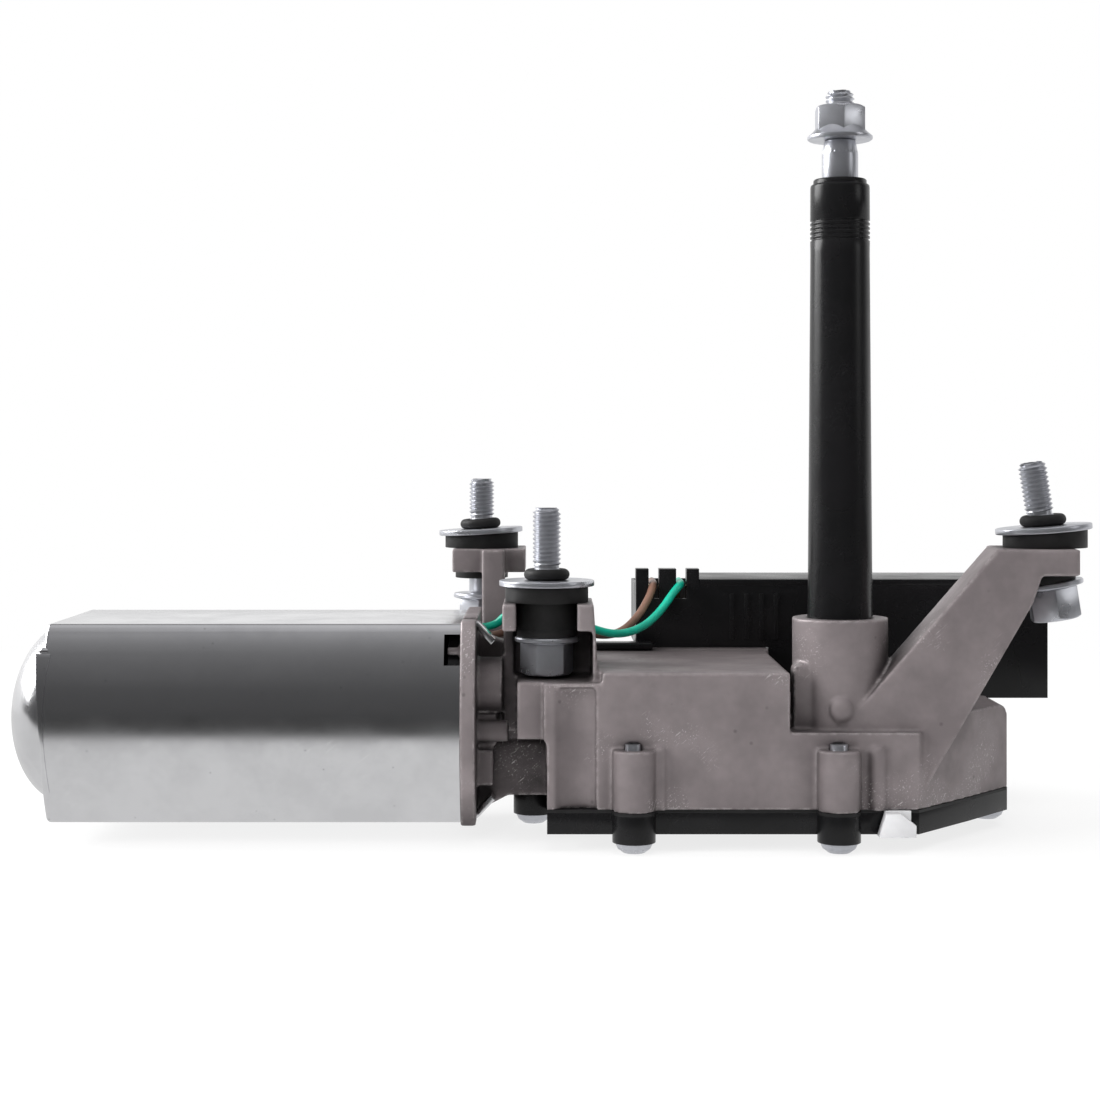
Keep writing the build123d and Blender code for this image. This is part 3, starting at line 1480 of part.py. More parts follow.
def build():
    pieces = {
        "gear_housing": make_gear_housing(),
        "bottom_cover": make_bottom_cover(),
        "cover_seal": make_cover_seal(),
        "vent_plug": make_vent_plug(),
        "cover_screws": make_cover_screws(),
        "motor_can": make_motor_can(),
        "end_bell": make_end_bell(),
        "rear_bush": make_rear_bush(),
        "bush_retainer": make_rear_retainer(),
        "field_magnets": make_magnets(),
        "magnet_springs": make_magnet_springs(),
        "brush_plate": make_brush_plate(),
        "brush_holders": make_brush_holders(),
        "carbon_brushes": make_brushes(),
        "brush_springs": make_brush_springs(),
        "front_bearing": make_front_bearing(),
        "worm_end_bush": make_end_bush(),
        "thrust_pad": make_thrust_pad(),
        "armature_shaft": make_armature_shaft(),
        "rotor_core": make_rotor_core(),
        "windings": make_windings(),
        "commutator": make_commutator(),
        "worm_wheel": make_worm_wheel(),
        "contact_disc": make_contact_disc(),
        "contact_fingers": make_contact_fingers(),
        "wheel_axle": make_wheel_axle(),
        "axle_clip": make_axle_clip(),
        "sector_rod": make_sector_rod(),
        "link_plates": make_link_plates(),
        "link_pin": make_link_pin(),
        "crank_pin": make_crank_pin(),
        "wiper_spindle": make_spindle(),
        "spindle_pinion": make_spindle_pinion(),
        "spindle_clip": make_spindle_clip(),
        "spindle_washer": make_spindle_washer(),
        "spindle_bushes": make_spindle_bushes(),
        "top_bush": make_top_bush(),
        "spindle_seal": make_spindle_seal(),
        "spindle_sleeve": make_spindle_sleeve(),
        "spindle_nut": make_spindle_nut(),
        "electronics_box": make_electronics_box(),
        "box_lid": make_box_lid(),
        "circuit_board": make_circuit_board(),
        "board_posts": make_board_posts(),
        "relay": make_relay(),
        "capacitors": make_capacitor(),
        "control_chip": make_control_chip(),
        "connector_pins": make_connector_pins(),
        "wire_terminals": make_wire_terminals(),
        "box_screw": make_box_screw(),
        "green_wire": make_wire("green_wire", green_route),
        "brown_wire": make_wire("brown_wire", brown_route),
        "rubber_grommets": [make_grommet(mount) for mount in mounts.values()],
        "isolator_tubes": [make_isolator_tube(mount) for mount in mounts.values()],
        "isolator_washers": [make_isolator_washer(mount) for mount in mounts.values()],
        "isolator_rings": [make_isolator_ring(mount) for mount in mounts.values()],
        "isolator_bolts": [make_isolator_bolt(mount) for mount in mounts.values()],
    }
    for node, shape in pieces.items():
        export(node, shape)
    print("sweeps", round(link_sweep, 3), round(rod_sweep, 3), round(spindle_sweep, 3))
    print("link pin", round(pin_x, 3), round(pin_y, 3), "crank", round(crank_x, 3), round(crank_y, 3))
    print("wheel", wheel_x, round(wheel_y, 3), "centre distance", centre_distance)


build()
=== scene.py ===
import json
import math

import bpy
from mathutils import Matrix, Vector


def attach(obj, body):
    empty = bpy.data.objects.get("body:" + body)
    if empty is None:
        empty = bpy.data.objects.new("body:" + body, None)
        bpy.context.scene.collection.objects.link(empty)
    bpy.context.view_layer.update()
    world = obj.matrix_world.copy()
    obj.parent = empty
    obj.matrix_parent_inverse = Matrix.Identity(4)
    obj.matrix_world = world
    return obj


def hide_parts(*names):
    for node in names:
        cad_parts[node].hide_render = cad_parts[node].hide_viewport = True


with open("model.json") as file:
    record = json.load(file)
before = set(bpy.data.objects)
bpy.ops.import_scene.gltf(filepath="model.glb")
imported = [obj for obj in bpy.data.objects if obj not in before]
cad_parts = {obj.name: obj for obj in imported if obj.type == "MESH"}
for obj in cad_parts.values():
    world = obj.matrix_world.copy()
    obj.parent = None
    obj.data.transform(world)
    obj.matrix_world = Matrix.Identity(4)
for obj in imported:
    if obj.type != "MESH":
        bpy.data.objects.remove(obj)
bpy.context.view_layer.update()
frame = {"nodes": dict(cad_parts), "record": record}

nodes = frame["nodes"]
bodies = frame["record"]["behaviour"]["bodies"]
bodyOf = {node: body for body, group in bodies.items() for node in group}
slotOf = {row["node"]: row["material_slot"] for row in frame["record"]["subparts"]}
mm = 0.001
print("frame loaded,", len(nodes), "nodes")


# ---- small helpers for shader nodes

def addNode(tree, kind, inputs=None, **settings):
    made = tree.nodes.new(kind)
    for key, value in settings.items():
        setattr(made, key, value)
    for key, value in (inputs or {}).items():
        if isinstance(value, bpy.types.NodeSocket):
            tree.links.new(value, made.inputs[key])
        else:
            made.inputs[key].default_value = value
    return made


def ramp(tree, value, low, high, start=0.0, end=1.0):
    return addNode(tree, "ShaderNodeMapRange", {0: value, 1: low, 2: high, 3: start, 4: end}).outputs[0]


def calc(tree, operation, first, second=0.0):
    return addNode(tree, "ShaderNodeMath", {0: first, 1: second}, operation=operation).outputs[0]


def mixColour(tree, share, first, second):
    made = addNode(tree, "ShaderNodeMix", {0: share, 6: first, 7: second}, data_type="RGBA")
    return made.outputs[2]


def mixShader(tree, share, first, second):
    return addNode(tree, "ShaderNodeMixShader", {0: share, 1: first, 2: second}).outputs[0]


def background(tree, colour, strength):
    return addNode(tree, "ShaderNodeBackground", {"Color": colour, "Strength": strength}).outputs[0]


# ---- camera, lights and floor

view = {
    "place": (-81.2, -560.0, 103.2),  # mm, level with the photo's horizon line
    "lens": 65.45,
    "shift": -0.0864,
    "aim": (-0.08, 0.03, 0.08),  # metres, where the lamps point
}
studio = {
    "daylight": 0.22,
    # height of the direction and brightness of the dark room that bright metal shows
    "room": ((0.0, 0.07), (0.27, 0.085), (0.42, 0.12), (0.57, 0.15), (0.71, 0.22), (0.83, 0.42),
             (1.0, 0.6)),
    # the white sweep behind the bench, by how far back and how high the direction points
    "sweepBack": (0.15, 0.45),
    "sweepHeight": (0.62, 0.4),
    "sweepColour": (0.9, 0.9, 0.9, 1),
}
# place, size in metres, power in watts, and whether bright metal shows the lamp
lamps = {
    "topSoftbox": ((0.05, -0.15, 0.95), 0.9, 6.5, False),
    "leftSoftbox": ((-1.1, 0.3, 0.6), 0.75, 15.0, True),
    "rightCard": ((1.15, -0.5, 0.42), 0.4, 0.85, True),
    "sideSoftbox": ((-1.1, -0.55, 0.4), 0.5, 14.0, False),
    "frontSoftbox": ((-0.2, -1.1, 0.55), 0.6, 4.0, False),
    "backSoftbox": ((-0.2, 0.95, 0.7), 0.7, 2.5, False),
}
bench = {
    "size": 12,
    "height": -4.8,  # mm
    "colour": (0.93, 0.93, 0.93, 1),
    # as bright metal shows it along y: from and to in metres, then the brightness at both
    "frontEdge": (-0.15, -0.11, 0.05, 0.72),
    "backStart": (0.1, 0.35, 0.05, 0.85),
    # as the camera sees it: from and to in metres from the middle, then how much is plain white
    "toMiddle": (0.08, -0.03, 0.0),
    "white": (0.2, 0.6, 0.8, 1.0),
}


def addCamera():
    data = bpy.data.cameras.new("photoCamera")
    data.lens = view["lens"]
    data.sensor_width = 36
    data.shift_y = view["shift"]
    data.clip_start = 0.01
    data.clip_end = 50
    camera = bpy.data.objects.new("photoCamera", data)
    camera.location = [value * mm for value in view["place"]]
    camera.rotation_euler = (math.radians(90), 0, 0)
    bpy.context.scene.collection.objects.link(camera)
    bpy.context.scene.camera = camera


def addLamps():
    aim = Vector(view["aim"])
    for name, (place, size, power, shows) in lamps.items():
        data = bpy.data.lights.new(name, "AREA")
        data.energy = power
        data.size = size
        lamp = bpy.data.objects.new(name, data)
        lamp.location = place
        lamp.rotation_euler = (aim - Vector(place)).to_track_quat("-Z", "Y").to_euler()
        lamp.visible_glossy = shows
        bpy.context.scene.collection.objects.link(lamp)


def addWorld():
    world = bpy.data.worlds.new("studioWorld")
    bpy.context.scene.world = world
    world.use_nodes = True
    tree = world.node_tree
    tree.nodes.clear()
    place = addNode(tree, "ShaderNodeTexCoord")
    axes = addNode(tree, "ShaderNodeSeparateXYZ", {0: place.outputs["Generated"]})
    # the room round the bench is dark up to a good height
    height = addNode(tree, "ShaderNodeValToRGB", {0: axes.outputs["Z"]})
    stops = height.color_ramp.elements
    for count, (at, level) in enumerate(studio["room"]):
        stop = stops[count] if count < 2 else stops.new(at)
        stop.position, stop.color = at, (level, level, level * 1.02, 1)
    back = ramp(tree, axes.outputs["Y"], *studio["sweepBack"])
    low = ramp(tree, axes.outputs["Z"], *studio["sweepHeight"])
    sweep = calc(tree, "MULTIPLY", back, low)
    room = mixColour(tree, sweep, height.outputs[0], studio["sweepColour"])
    path = addNode(tree, "ShaderNodeLightPath").outputs
    seen = calc(tree, "MAXIMUM", path["Is Camera Ray"], path["Is Transmission Ray"])
    lit = background(tree, (1, 1, 1, 1), studio["daylight"])
    shine = background(tree, room, 1.0)
    white = background(tree, (1, 1, 1, 1), 1.0)
    unseen = mixShader(tree, path["Is Glossy Ray"], lit, shine)
    addNode(tree, "ShaderNodeOutputWorld", {0: mixShader(tree, seen, unseen, white)})


def addFloor():
    bpy.ops.object.select_all(action="DESELECT")
    bpy.ops.mesh.primitive_plane_add(size=bench["size"], location=(0, 0, bench["height"] * mm))
    floor = bpy.context.object
    floor.name = "studioFloor"
    material = bpy.data.materials.new("paleFloor")
    material.use_nodes = True
    tree = material.node_tree
    tree.nodes.clear()
    path = addNode(tree, "ShaderNodeLightPath").outputs
    seen = calc(tree, "MAXIMUM", path["Is Camera Ray"], path["Is Glossy Ray"])
    place = addNode(tree, "ShaderNodeNewGeometry").outputs["Position"]
    axes = addNode(tree, "ShaderNodeSeparateXYZ", {0: place})
    front = ramp(tree, axes.outputs["Y"], *bench["frontEdge"])
    behind = ramp(tree, axes.outputs["Y"], *bench["backStart"])
    shown = calc(tree, "MAXIMUM", front, behind)
    level = addNode(tree, "ShaderNodeMix", {0: path["Is Glossy Ray"], 2: 1.0, 3: shown}).outputs[0]
    matte = addNode(tree, "ShaderNodeBsdfDiffuse", {"Color": bench["colour"]}).outputs[0]
    white = addNode(tree, "ShaderNodeEmission", {"Strength": level}).outputs[0]
    centre = addNode(tree, "ShaderNodeVectorMath", {0: place, 1: bench["toMiddle"]}, operation="ADD")
    away = addNode(tree, "ShaderNodeVectorMath", {0: centre.outputs[0]}, operation="LENGTH")
    far = ramp(tree, away.outputs["Value"], *bench["white"])
    share = calc(tree, "MULTIPLY", seen, calc(tree, "MAXIMUM", far, path["Is Glossy Ray"]))
    addNode(tree, "ShaderNodeOutputMaterial", {0: mixShader(tree, share, matte, white)})
    floor.data.materials.append(material)


addCamera()
addWorld()
addFloor()
addLamps()
bpy.context.scene.view_settings.view_transform = "Standard"
print("camera, lights and floor made")


# ---- effects that several finishes share

# pairs are the two ends of a ramp, and shades are shares of a finish's dark colour
effects = {
    # how each set of scratches is turned and stretched
    "scratchSets": (((0.2, 0.65, 0.25), (130, 1900, 1900)), ((0.5, -0.75, 1.1), (170, 2300, 2300)),
                    ((-0.3, 1.2, 2.2), (90, 2600, 2600))),
    "scratchLine": (0.66, 0.72),
    "scratchPatch": (0.53, 0.62),
    "patchScale": 42.0,
    "speckEdge": (0.16, 0.06),
    "speckChosen": (0.86, 0.9),
    "edgeTurn": (0.985, 0.86),
    "edgeBreaks": (0.38, 0.6),
    "edgeScale": 450.0,
    # the next four paint shade into corners and recesses, by ambient occlusion
    "shadeOpen": (0.92, 0.3),
    "shadeUneven": (0.35, 0.65, 0.75, 1.0),
    "shadeNoiseScale": 120.0,
    "paintedShadeShare": 0.25,
    "speckShade": 0.3,
    "toneEnds": (0.38, 0.62),
    "roughEnds": (0.35, 0.65),
    # the worn edges here are the same mask that also paints highlight on the casting's edges
    "polish": 0.12,  # how much smoother worn edges and scratches are
    "scratchDepth": 0.8,
    "bumpDepth": 0.1,  # mm
}


def newGroup(name, inputs, outputs):
    group = bpy.data.node_groups.new(name, "ShaderNodeTree")
    for label, value in inputs:
        socket = group.interface.new_socket(label, in_out="INPUT", socket_type="NodeSocketFloat")
        socket.default_value = value
    for label in outputs:
        group.interface.new_socket(label, in_out="OUTPUT", socket_type="NodeSocketFloat")
    return group, group.nodes.new("NodeGroupInput").outputs, group.nodes.new("NodeGroupOutput").inputs


def noise(tree, vector, scale, detail=3.0, rough=0.5):
    inputs = {"Vector": vector, "Scale": scale, "Detail": detail, "Roughness": rough}
    return addNode(tree, "ShaderNodeTexNoise", inputs).outputs[0]


def objectPlace(tree):
    return addNode(tree, "ShaderNodeTexCoord").outputs["Object"]


def stretched(tree, vector, turn, scale):
    turned = addNode(tree, "ShaderNodeMapping", {"Vector": vector, "Rotation": turn}).outputs[0]
    return addNode(tree, "ShaderNodeMapping", {"Vector": turned, "Scale": scale}).outputs[0]


def scratchGroup():
    group, inputs, outputs = newGroup("scratches", [("Amount", 0.5), ("Fineness", 1.0)], ["Lines"])
    place = objectPlace(group)
    fine = addNode(group, "ShaderNodeVectorMath", {0: place, "Scale": inputs["Fineness"]},
                   operation="SCALE").outputs[0]
    lines = None
    for turn, scale in effects["scratchSets"]:
        streak = noise(group, stretched(group, fine, turn, scale), 1.0, 2.0)
        line = ramp(group, streak, *effects["scratchLine"])
        lines = line if lines is None else calc(group, "MAXIMUM", lines, line)
    patch = ramp(group, noise(group, place, effects["patchScale"], 2.0), *effects["scratchPatch"])
    out = calc(group, "MULTIPLY", calc(group, "MULTIPLY", lines, patch), inputs["Amount"])
    group.links.new(out, outputs["Lines"])
    return group


def grainGroup():
    group, inputs, outputs = newGroup("grain", [("Scale", 1000.0), ("Blotch", 60.0)],
                                      ["Height", "Tone"])
    place = objectPlace(group)
    group.links.new(noise(group, place, inputs["Scale"], 4.0, 0.6), outputs["Height"])
    group.links.new(noise(group, place, inputs["Blotch"], 4.0, 0.6), outputs["Tone"])
    return group


def speckGroup():
    # small dark pits and dust marks, thrown about unevenly
    group, inputs, outputs = newGroup("specks", [("Amount", 0.5), ("Scale", 260.0)], ["Spots"])
    cells = addNode(group, "ShaderNodeTexVoronoi", {"Vector": objectPlace(group),
                                                    "Scale": inputs["Scale"]})
    near = ramp(group, cells.outputs["Distance"], *effects["speckEdge"])
    chosen = addNode(group, "ShaderNodeSeparateColor", {0: cells.outputs["Color"]}).outputs[0]
    few = ramp(group, chosen, *effects["speckChosen"])
    out = calc(group, "MULTIPLY", calc(group, "MULTIPLY", near, few), inputs["Amount"])
    group.links.new(out, outputs["Spots"])
    return group


def wearAndHighlightGroup():
    # edges lighten for wear, and on the casting as painted highlight too
    group, inputs, outputs = newGroup("edgeWearAndHighlight", [("Radius", 0.0006), ("Amount", 1.0)], ["Edges"])
    rounded = addNode(group, "ShaderNodeBevel", {"Radius": inputs["Radius"]}, samples=4)
    surface = addNode(group, "ShaderNodeNewGeometry")
    turn = addNode(group, "ShaderNodeVectorMath",
                   {0: rounded.outputs[0], 1: surface.outputs["Normal"]},
                   operation="DOT_PRODUCT").outputs["Value"]
    edge = ramp(group, turn, *effects["edgeTurn"])
    broken = ramp(group, noise(group, objectPlace(group), effects["edgeScale"], 3.0),
                  *effects["edgeBreaks"])
    out = calc(group, "MULTIPLY", calc(group, "MULTIPLY", edge, broken), inputs["Amount"])
    group.links.new(out, outputs["Edges"])
    return group


def paintedShadeGroup():
    # painted shade: corners and recesses darkened by ambient occlusion, made uneven by noise
    group, inputs, outputs = newGroup("paintedShade", [("Reach", 0.012), ("Amount", 0.5)], ["Dirt"])
    bare = addNode(group, "ShaderNodeAmbientOcclusion", {"Distance": inputs["Reach"]}, samples=8)
    deep = ramp(group, bare.outputs["AO"], *effects["shadeOpen"])
    uneven = ramp(group, noise(group, objectPlace(group), effects["shadeNoiseScale"], 3.0),
                  *effects["shadeUneven"])
    out = calc(group, "MULTIPLY", calc(group, "MULTIPLY", deep, uneven), inputs["Amount"])
    group.links.new(out, outputs["Dirt"])
    return group


scratches = scratchGroup()
grain = grainGroup()
edgeWearAndHighlight = wearAndHighlightGroup()
specks = speckGroup()
paintedShade = paintedShadeGroup()


def useGroup(tree, group, **values):
    made = addNode(tree, "ShaderNodeGroup", node_tree=group)
    for key, value in values.items():
        made.inputs[key].default_value = value
    return made.outputs


# ---- finishes, one dictionary each

finishes = {
    # base and dark are the two ends of the blotchy tone, edge is the colour on worn edges, also painted
    # highlight on the casting
    # the cast aluminium's last two values paint shade into its recesses
    "cast_aluminium": dict(
        base=(0.272, 0.238, 0.242), dark=(0.2, 0.174, 0.178), edge=(0.62, 0.58, 0.58), metal=0.5,
        rough=(0.42, 0.56), grain=1500, blotch=45, bump=0.35, wearAndHighlight=0.8, lines=0.7, fine=1.0,
        specks=0.45, speckScale=230, edgeWidth=1.2, paintedShade=1.0, paintedShadeReach=22),
    "black_plastic": dict(
        base=(0.0062, 0.006, 0.0065), dark=(0.0042, 0.0042, 0.0046), edge=(0.03, 0.03, 0.03), metal=0.0,
        rough=(0.22, 0.34), grain=2600, blotch=50, bump=0.12, wearAndHighlight=0.25, lines=0.25, fine=1.3,
        gloss=0.3),
    "black_rubber": dict(
        base=(0.010, 0.0095, 0.010), dark=(0.007, 0.007, 0.007), edge=(0.02, 0.02, 0.02), metal=0.0,
        rough=(0.5, 0.7), grain=3000, blotch=70, bump=0.2, wearAndHighlight=0.2, lines=0.1, fine=1.5, gloss=0.35),
    "white_plastic": dict(
        base=(0.6, 0.6, 0.61), dark=(0.5, 0.5, 0.515), edge=(0.85, 0.85, 0.85), metal=0.0,
        rough=(0.35, 0.5), grain=2200, blotch=60, bump=0.1, wearAndHighlight=0.2, lines=0.2, fine=1.2),
    "zinc_steel": dict(
        base=(0.76, 0.76, 0.775), dark=(0.70, 0.70, 0.715), edge=(0.85, 0.85, 0.86), metal=1.0,
        rough=(0.17, 0.24), grain=2600, blotch=60, bump=0.03, wearAndHighlight=0.5, lines=0.5, fine=1.4,
        specks=0.25, speckScale=420),
    "bright_hardware": dict(
        base=(0.60, 0.61, 0.65), dark=(0.50, 0.51, 0.55), edge=(0.74, 0.74, 0.76), metal=0.9,
        rough=(0.26, 0.36), grain=2600, blotch=60, bump=0.02, wearAndHighlight=0.15, lines=0.1, fine=1.6),
    "bronze": dict(
        base=(0.50, 0.34, 0.18), dark=(0.36, 0.24, 0.13), edge=(0.66, 0.48, 0.26), metal=0.9,
        rough=(0.38, 0.52), grain=2600, blotch=120, bump=0.2, wearAndHighlight=0.5, lines=0.3, fine=1.4),
    "spring_steel": dict(
        base=(0.36, 0.37, 0.39), dark=(0.24, 0.25, 0.27), edge=(0.6, 0.6, 0.62), metal=1.0,
        rough=(0.28, 0.42), grain=2600, blotch=90, bump=0.06, wearAndHighlight=0.5, lines=0.5, fine=1.4),
    "ferrite": dict(
        base=(0.07, 0.07, 0.074), dark=(0.04, 0.04, 0.043), edge=(0.14, 0.14, 0.14), metal=0.2,
        rough=(0.55, 0.7), grain=1800, blotch=90, bump=0.25, wearAndHighlight=0.6, lines=0.2, fine=1.2),
    "brass": dict(
        base=(0.74, 0.55, 0.22), dark=(0.55, 0.38, 0.14), edge=(0.85, 0.68, 0.34), metal=1.0,
        rough=(0.22, 0.36), grain=2600, blotch=120, bump=0.05, wearAndHighlight=0.5, lines=0.5, fine=1.4),
    "carbon": dict(
        base=(0.05, 0.047, 0.045), dark=(0.03, 0.03, 0.03), edge=(0.12, 0.11, 0.10), metal=0.1,
        rough=(0.5, 0.65), grain=2600, blotch=200, bump=0.25, wearAndHighlight=0.6, lines=0.3, fine=1.4),
    "ground_steel": dict(
        base=(0.62, 0.62, 0.63), dark=(0.50, 0.50, 0.52), edge=(0.78, 0.78, 0.78), metal=1.0,
        rough=(0.14, 0.26), grain=3000, blotch=120, bump=0.04, wearAndHighlight=0.5, lines=0.5, fine=1.6),
    "board": dict(
        base=(0.03, 0.19, 0.085), dark=(0.02, 0.13, 0.06), edge=(0.35, 0.33, 0.2), metal=0.0,
        rough=(0.22, 0.34), grain=1600, blotch=160, bump=0.1, wearAndHighlight=0.5, lines=0.2, fine=1.2),
    "aluminium_can": dict(
        base=(0.70, 0.70, 0.72), dark=(0.58, 0.58, 0.60), edge=(0.8, 0.8, 0.8), metal=1.0,
        rough=(0.22, 0.32), grain=2600, blotch=120, bump=0.05, wearAndHighlight=0.4, lines=0.4, fine=1.4),
    "chip": dict(
        base=(0.04, 0.04, 0.044), dark=(0.025, 0.025, 0.028), edge=(0.10, 0.10, 0.10), metal=0.0,
        rough=(0.45, 0.6), grain=2600, blotch=200, bump=0.15, wearAndHighlight=0.4, lines=0.2, fine=1.4),
    "green_insulation": dict(
        base=(0.0, 0.40, 0.27), dark=(0.0, 0.30, 0.20), edge=(0.1, 0.5, 0.38), metal=0.0,
        rough=(0.28, 0.42), grain=2200, blotch=90, bump=0.08, wearAndHighlight=0.2, lines=0.1, fine=1.2),
    "brown_insulation": dict(
        base=(0.19, 0.10, 0.07), dark=(0.13, 0.07, 0.05), edge=(0.3, 0.2, 0.15), metal=0.0,
        rough=(0.28, 0.42), grain=2200, blotch=90, bump=0.08, wearAndHighlight=0.2, lines=0.1, fine=1.2),
    "copper": dict(
        base=(0.70, 0.33, 0.18), dark=(0.50, 0.22, 0.12), edge=(0.8, 0.45, 0.3), metal=1.0,
        rough=(0.24, 0.38), grain=2600, blotch=160, bump=0.1, wearAndHighlight=0.4, lines=0.3, fine=1.4),
}


def darker(look, share):
    return tuple(share * value for value in look["dark"]) + (1,)


def makeFinish(name, look):
    material = bpy.data.materials.new(name)
    material.use_nodes = True
    tree = material.node_tree
    shader = tree.nodes["Principled BSDF"]
    shader.inputs["Metallic"].default_value = look["metal"]
    shader.inputs["Specular IOR Level"].default_value = look.get("gloss", 0.5)
    texture = useGroup(tree, grain, Scale=look["grain"], Blotch=look["blotch"])
    wornAndHighlit = useGroup(tree, edgeWearAndHighlight, Amount=look["wearAndHighlight"], Radius=look.get("edgeWidth", 0.6) * mm)["Edges"]
    lines = useGroup(tree, scratches, Amount=look["lines"], Fineness=look["fine"])["Lines"]
    tone = ramp(tree, texture["Tone"], *effects["toneEnds"])
    colour = mixColour(tree, tone, (*look["dark"], 1), (*look["base"], 1))
    # painted shade: recesses darkened toward a share of the finish's dark colour
    if look.get("paintedShade"):
        shadeMask = useGroup(tree, paintedShade, Amount=look["paintedShade"], Reach=look["paintedShadeReach"] * mm)["Dirt"]
        colour = mixColour(tree, shadeMask, colour, darker(look, effects["paintedShadeShare"]))
    marks = calc(tree, "MAXIMUM", wornAndHighlit, lines)
    # worn edges and scratches take the edge colour: partly wear, partly painted highlight
    colour = mixColour(tree, marks, colour, (*look["edge"], 1))
    spots = useGroup(tree, specks, Amount=look.get("specks", 0.0), Scale=look.get("speckScale", 260.0))
    colour = mixColour(tree, spots["Spots"], colour, darker(look, effects["speckShade"]))
    tree.links.new(colour, shader.inputs["Base Color"])
    smooth, matte = look["rough"]
    uneven = ramp(tree, texture["Tone"], *effects["roughEnds"], matte, smooth)
    rough = calc(tree, "SUBTRACT", uneven, calc(tree, "MULTIPLY", marks, effects["polish"]))
    tree.links.new(rough, shader.inputs["Roughness"])
    deep = calc(tree, "MULTIPLY", lines, effects["scratchDepth"])
    height = calc(tree, "SUBTRACT", texture["Height"], deep)
    bump = addNode(tree, "ShaderNodeBump", {"Height": height, "Strength": look["bump"],
                                            "Distance": effects["bumpDepth"] * mm})
    tree.links.new(bump.outputs[0], shader.inputs["Normal"])
    return material


materials = {name: makeFinish(name, look) for name, look in finishes.items()}
for name, node in nodes.items():
    node.data.materials.clear()
    node.data.materials.append(materials[slotOf[name]])
print("finishes made,", len(materials))


# ---- modelling helpers

def onlySelect(*pieces):
    if bpy.context.object and bpy.context.object.mode != "OBJECT":
        bpy.ops.object.mode_set(mode="OBJECT")
    bpy.ops.object.select_all(action="DESELECT")
    for piece in pieces:
        piece.select_set(True)
    bpy.context.view_layer.objects.active = pieces[0]


def editAll(piece, mode="VERT"):
    onlySelect(piece)
    bpy.ops.object.mode_set(mode="EDIT")
    bpy.ops.mesh.select_mode(type=mode)
    bpy.ops.mesh.select_all(action="SELECT")


def pickOut(piece, mode, test):
    # leaves edit mode on with only the points or faces that pass the test selected
    editAll(piece, mode)
    bpy.ops.mesh.select_all(action="DESELECT")
    bpy.ops.object.mode_set(mode="OBJECT")
    for item in piece.data.vertices if mode == "VERT" else piece.data.polygons:
        item.select = test(item)
    bpy.ops.object.mode_set(mode="EDIT")


def settle(piece):
    # the place goes into the mesh, and the object back to the origin
    onlySelect(piece)
    bpy.ops.object.transform_apply(location=True, rotation=True, scale=True)
    return piece


def putAt(piece, matrix):
    piece.matrix_world = matrix
    return settle(piece)


def weld(piece, distance=0.001):
    editAll(piece)
    bpy.ops.mesh.remove_doubles(threshold=distance * mm)
    bpy.ops.mesh.normals_make_consistent(inside=False)
    bpy.ops.object.mode_set(mode="OBJECT")


def useModifier(piece, kind, **settings):
    onlySelect(piece)
    made = piece.modifiers.new(kind.lower(), kind)
    for key, value in settings.items():
        setattr(made, key, value)
    bpy.ops.object.modifier_apply(modifier=made.name)


def softEdges(piece, width, angle=32, segments=2):
    useModifier(piece, "BEVEL", width=width * mm, segments=segments, limit_method="ANGLE",
                angle_limit=math.radians(angle), use_clamp_overlap=True)


def trim(piece, tool, how, solver="EXACT"):
    useModifier(piece, "BOOLEAN", operation=how, object=tool, solver=solver)
    bpy.data.objects.remove(tool)


def cutAt(piece, place, facing):
    # cuts on a plane and keeps the side that it faces away from
    editAll(piece)
    bpy.ops.mesh.bisect(plane_co=[value * mm for value in place], plane_no=facing, use_fill=True,
                        clear_outer=True)
    bpy.ops.object.mode_set(mode="OBJECT")


def openEnd(piece, facing):
    # the end cap goes, so that a closed body becomes a shell
    pickOut(piece, "FACE", lambda face: face.normal.x * facing > 0.99)
    bpy.ops.mesh.delete(type="FACE")
    bpy.ops.object.mode_set(mode="OBJECT")


def joined(name, first, *others):
    onlySelect(first, *others)
    bpy.ops.object.join()
    first.name = name
    return first


def copyOf(node, name):
    piece = bpy.data.objects.new(name, nodes[node].data.copy())
    bpy.context.scene.collection.objects.link(piece)
    weld(piece, 0.0005)
    return piece


def drawLine(name, points):
    # one point is pulled along the line, and edit mode stays on
    bpy.ops.object.select_all(action="DESELECT")
    bpy.ops.mesh.primitive_plane_add(size=mm, location=[value * mm for value in points[0]])
    piece = bpy.context.object
    piece.name = name
    editAll(settle(piece))
    bpy.ops.mesh.merge(type="CENTER")
    for last, point in zip(points, points[1:]):
        step = [(value - before) * mm for value, before in zip(point, last)]
        bpy.ops.mesh.extrude_vertices_move(TRANSFORM_OT_translate={"value": step})
    return piece


def turnOut(name, profile, steps=56):
    # a half section, given by radius and height, spun about the upright axis
    piece = drawLine(name, [(radius, 0, height) for radius, height in profile])
    bpy.ops.mesh.select_all(action="SELECT")
    bpy.ops.mesh.spin(steps=steps, angle=2 * math.pi, center=(0, 0, 0), axis=(0, 0, 1))
    bpy.ops.object.mode_set(mode="OBJECT")
    weld(piece)
    return piece


def makePlate(name, points, front, back):
    # an outline of x and height, filled and pulled back along y
    piece = drawLine(name, [(x, front, z) for x, z in points])
    bpy.ops.mesh.select_all(action="SELECT")
    bpy.ops.mesh.edge_face_add()
    bpy.ops.mesh.extrude_region_move(TRANSFORM_OT_translate={"value": (0, (back - front) * mm, 0)})
    bpy.ops.object.mode_set(mode="OBJECT")
    weld(piece)
    return piece


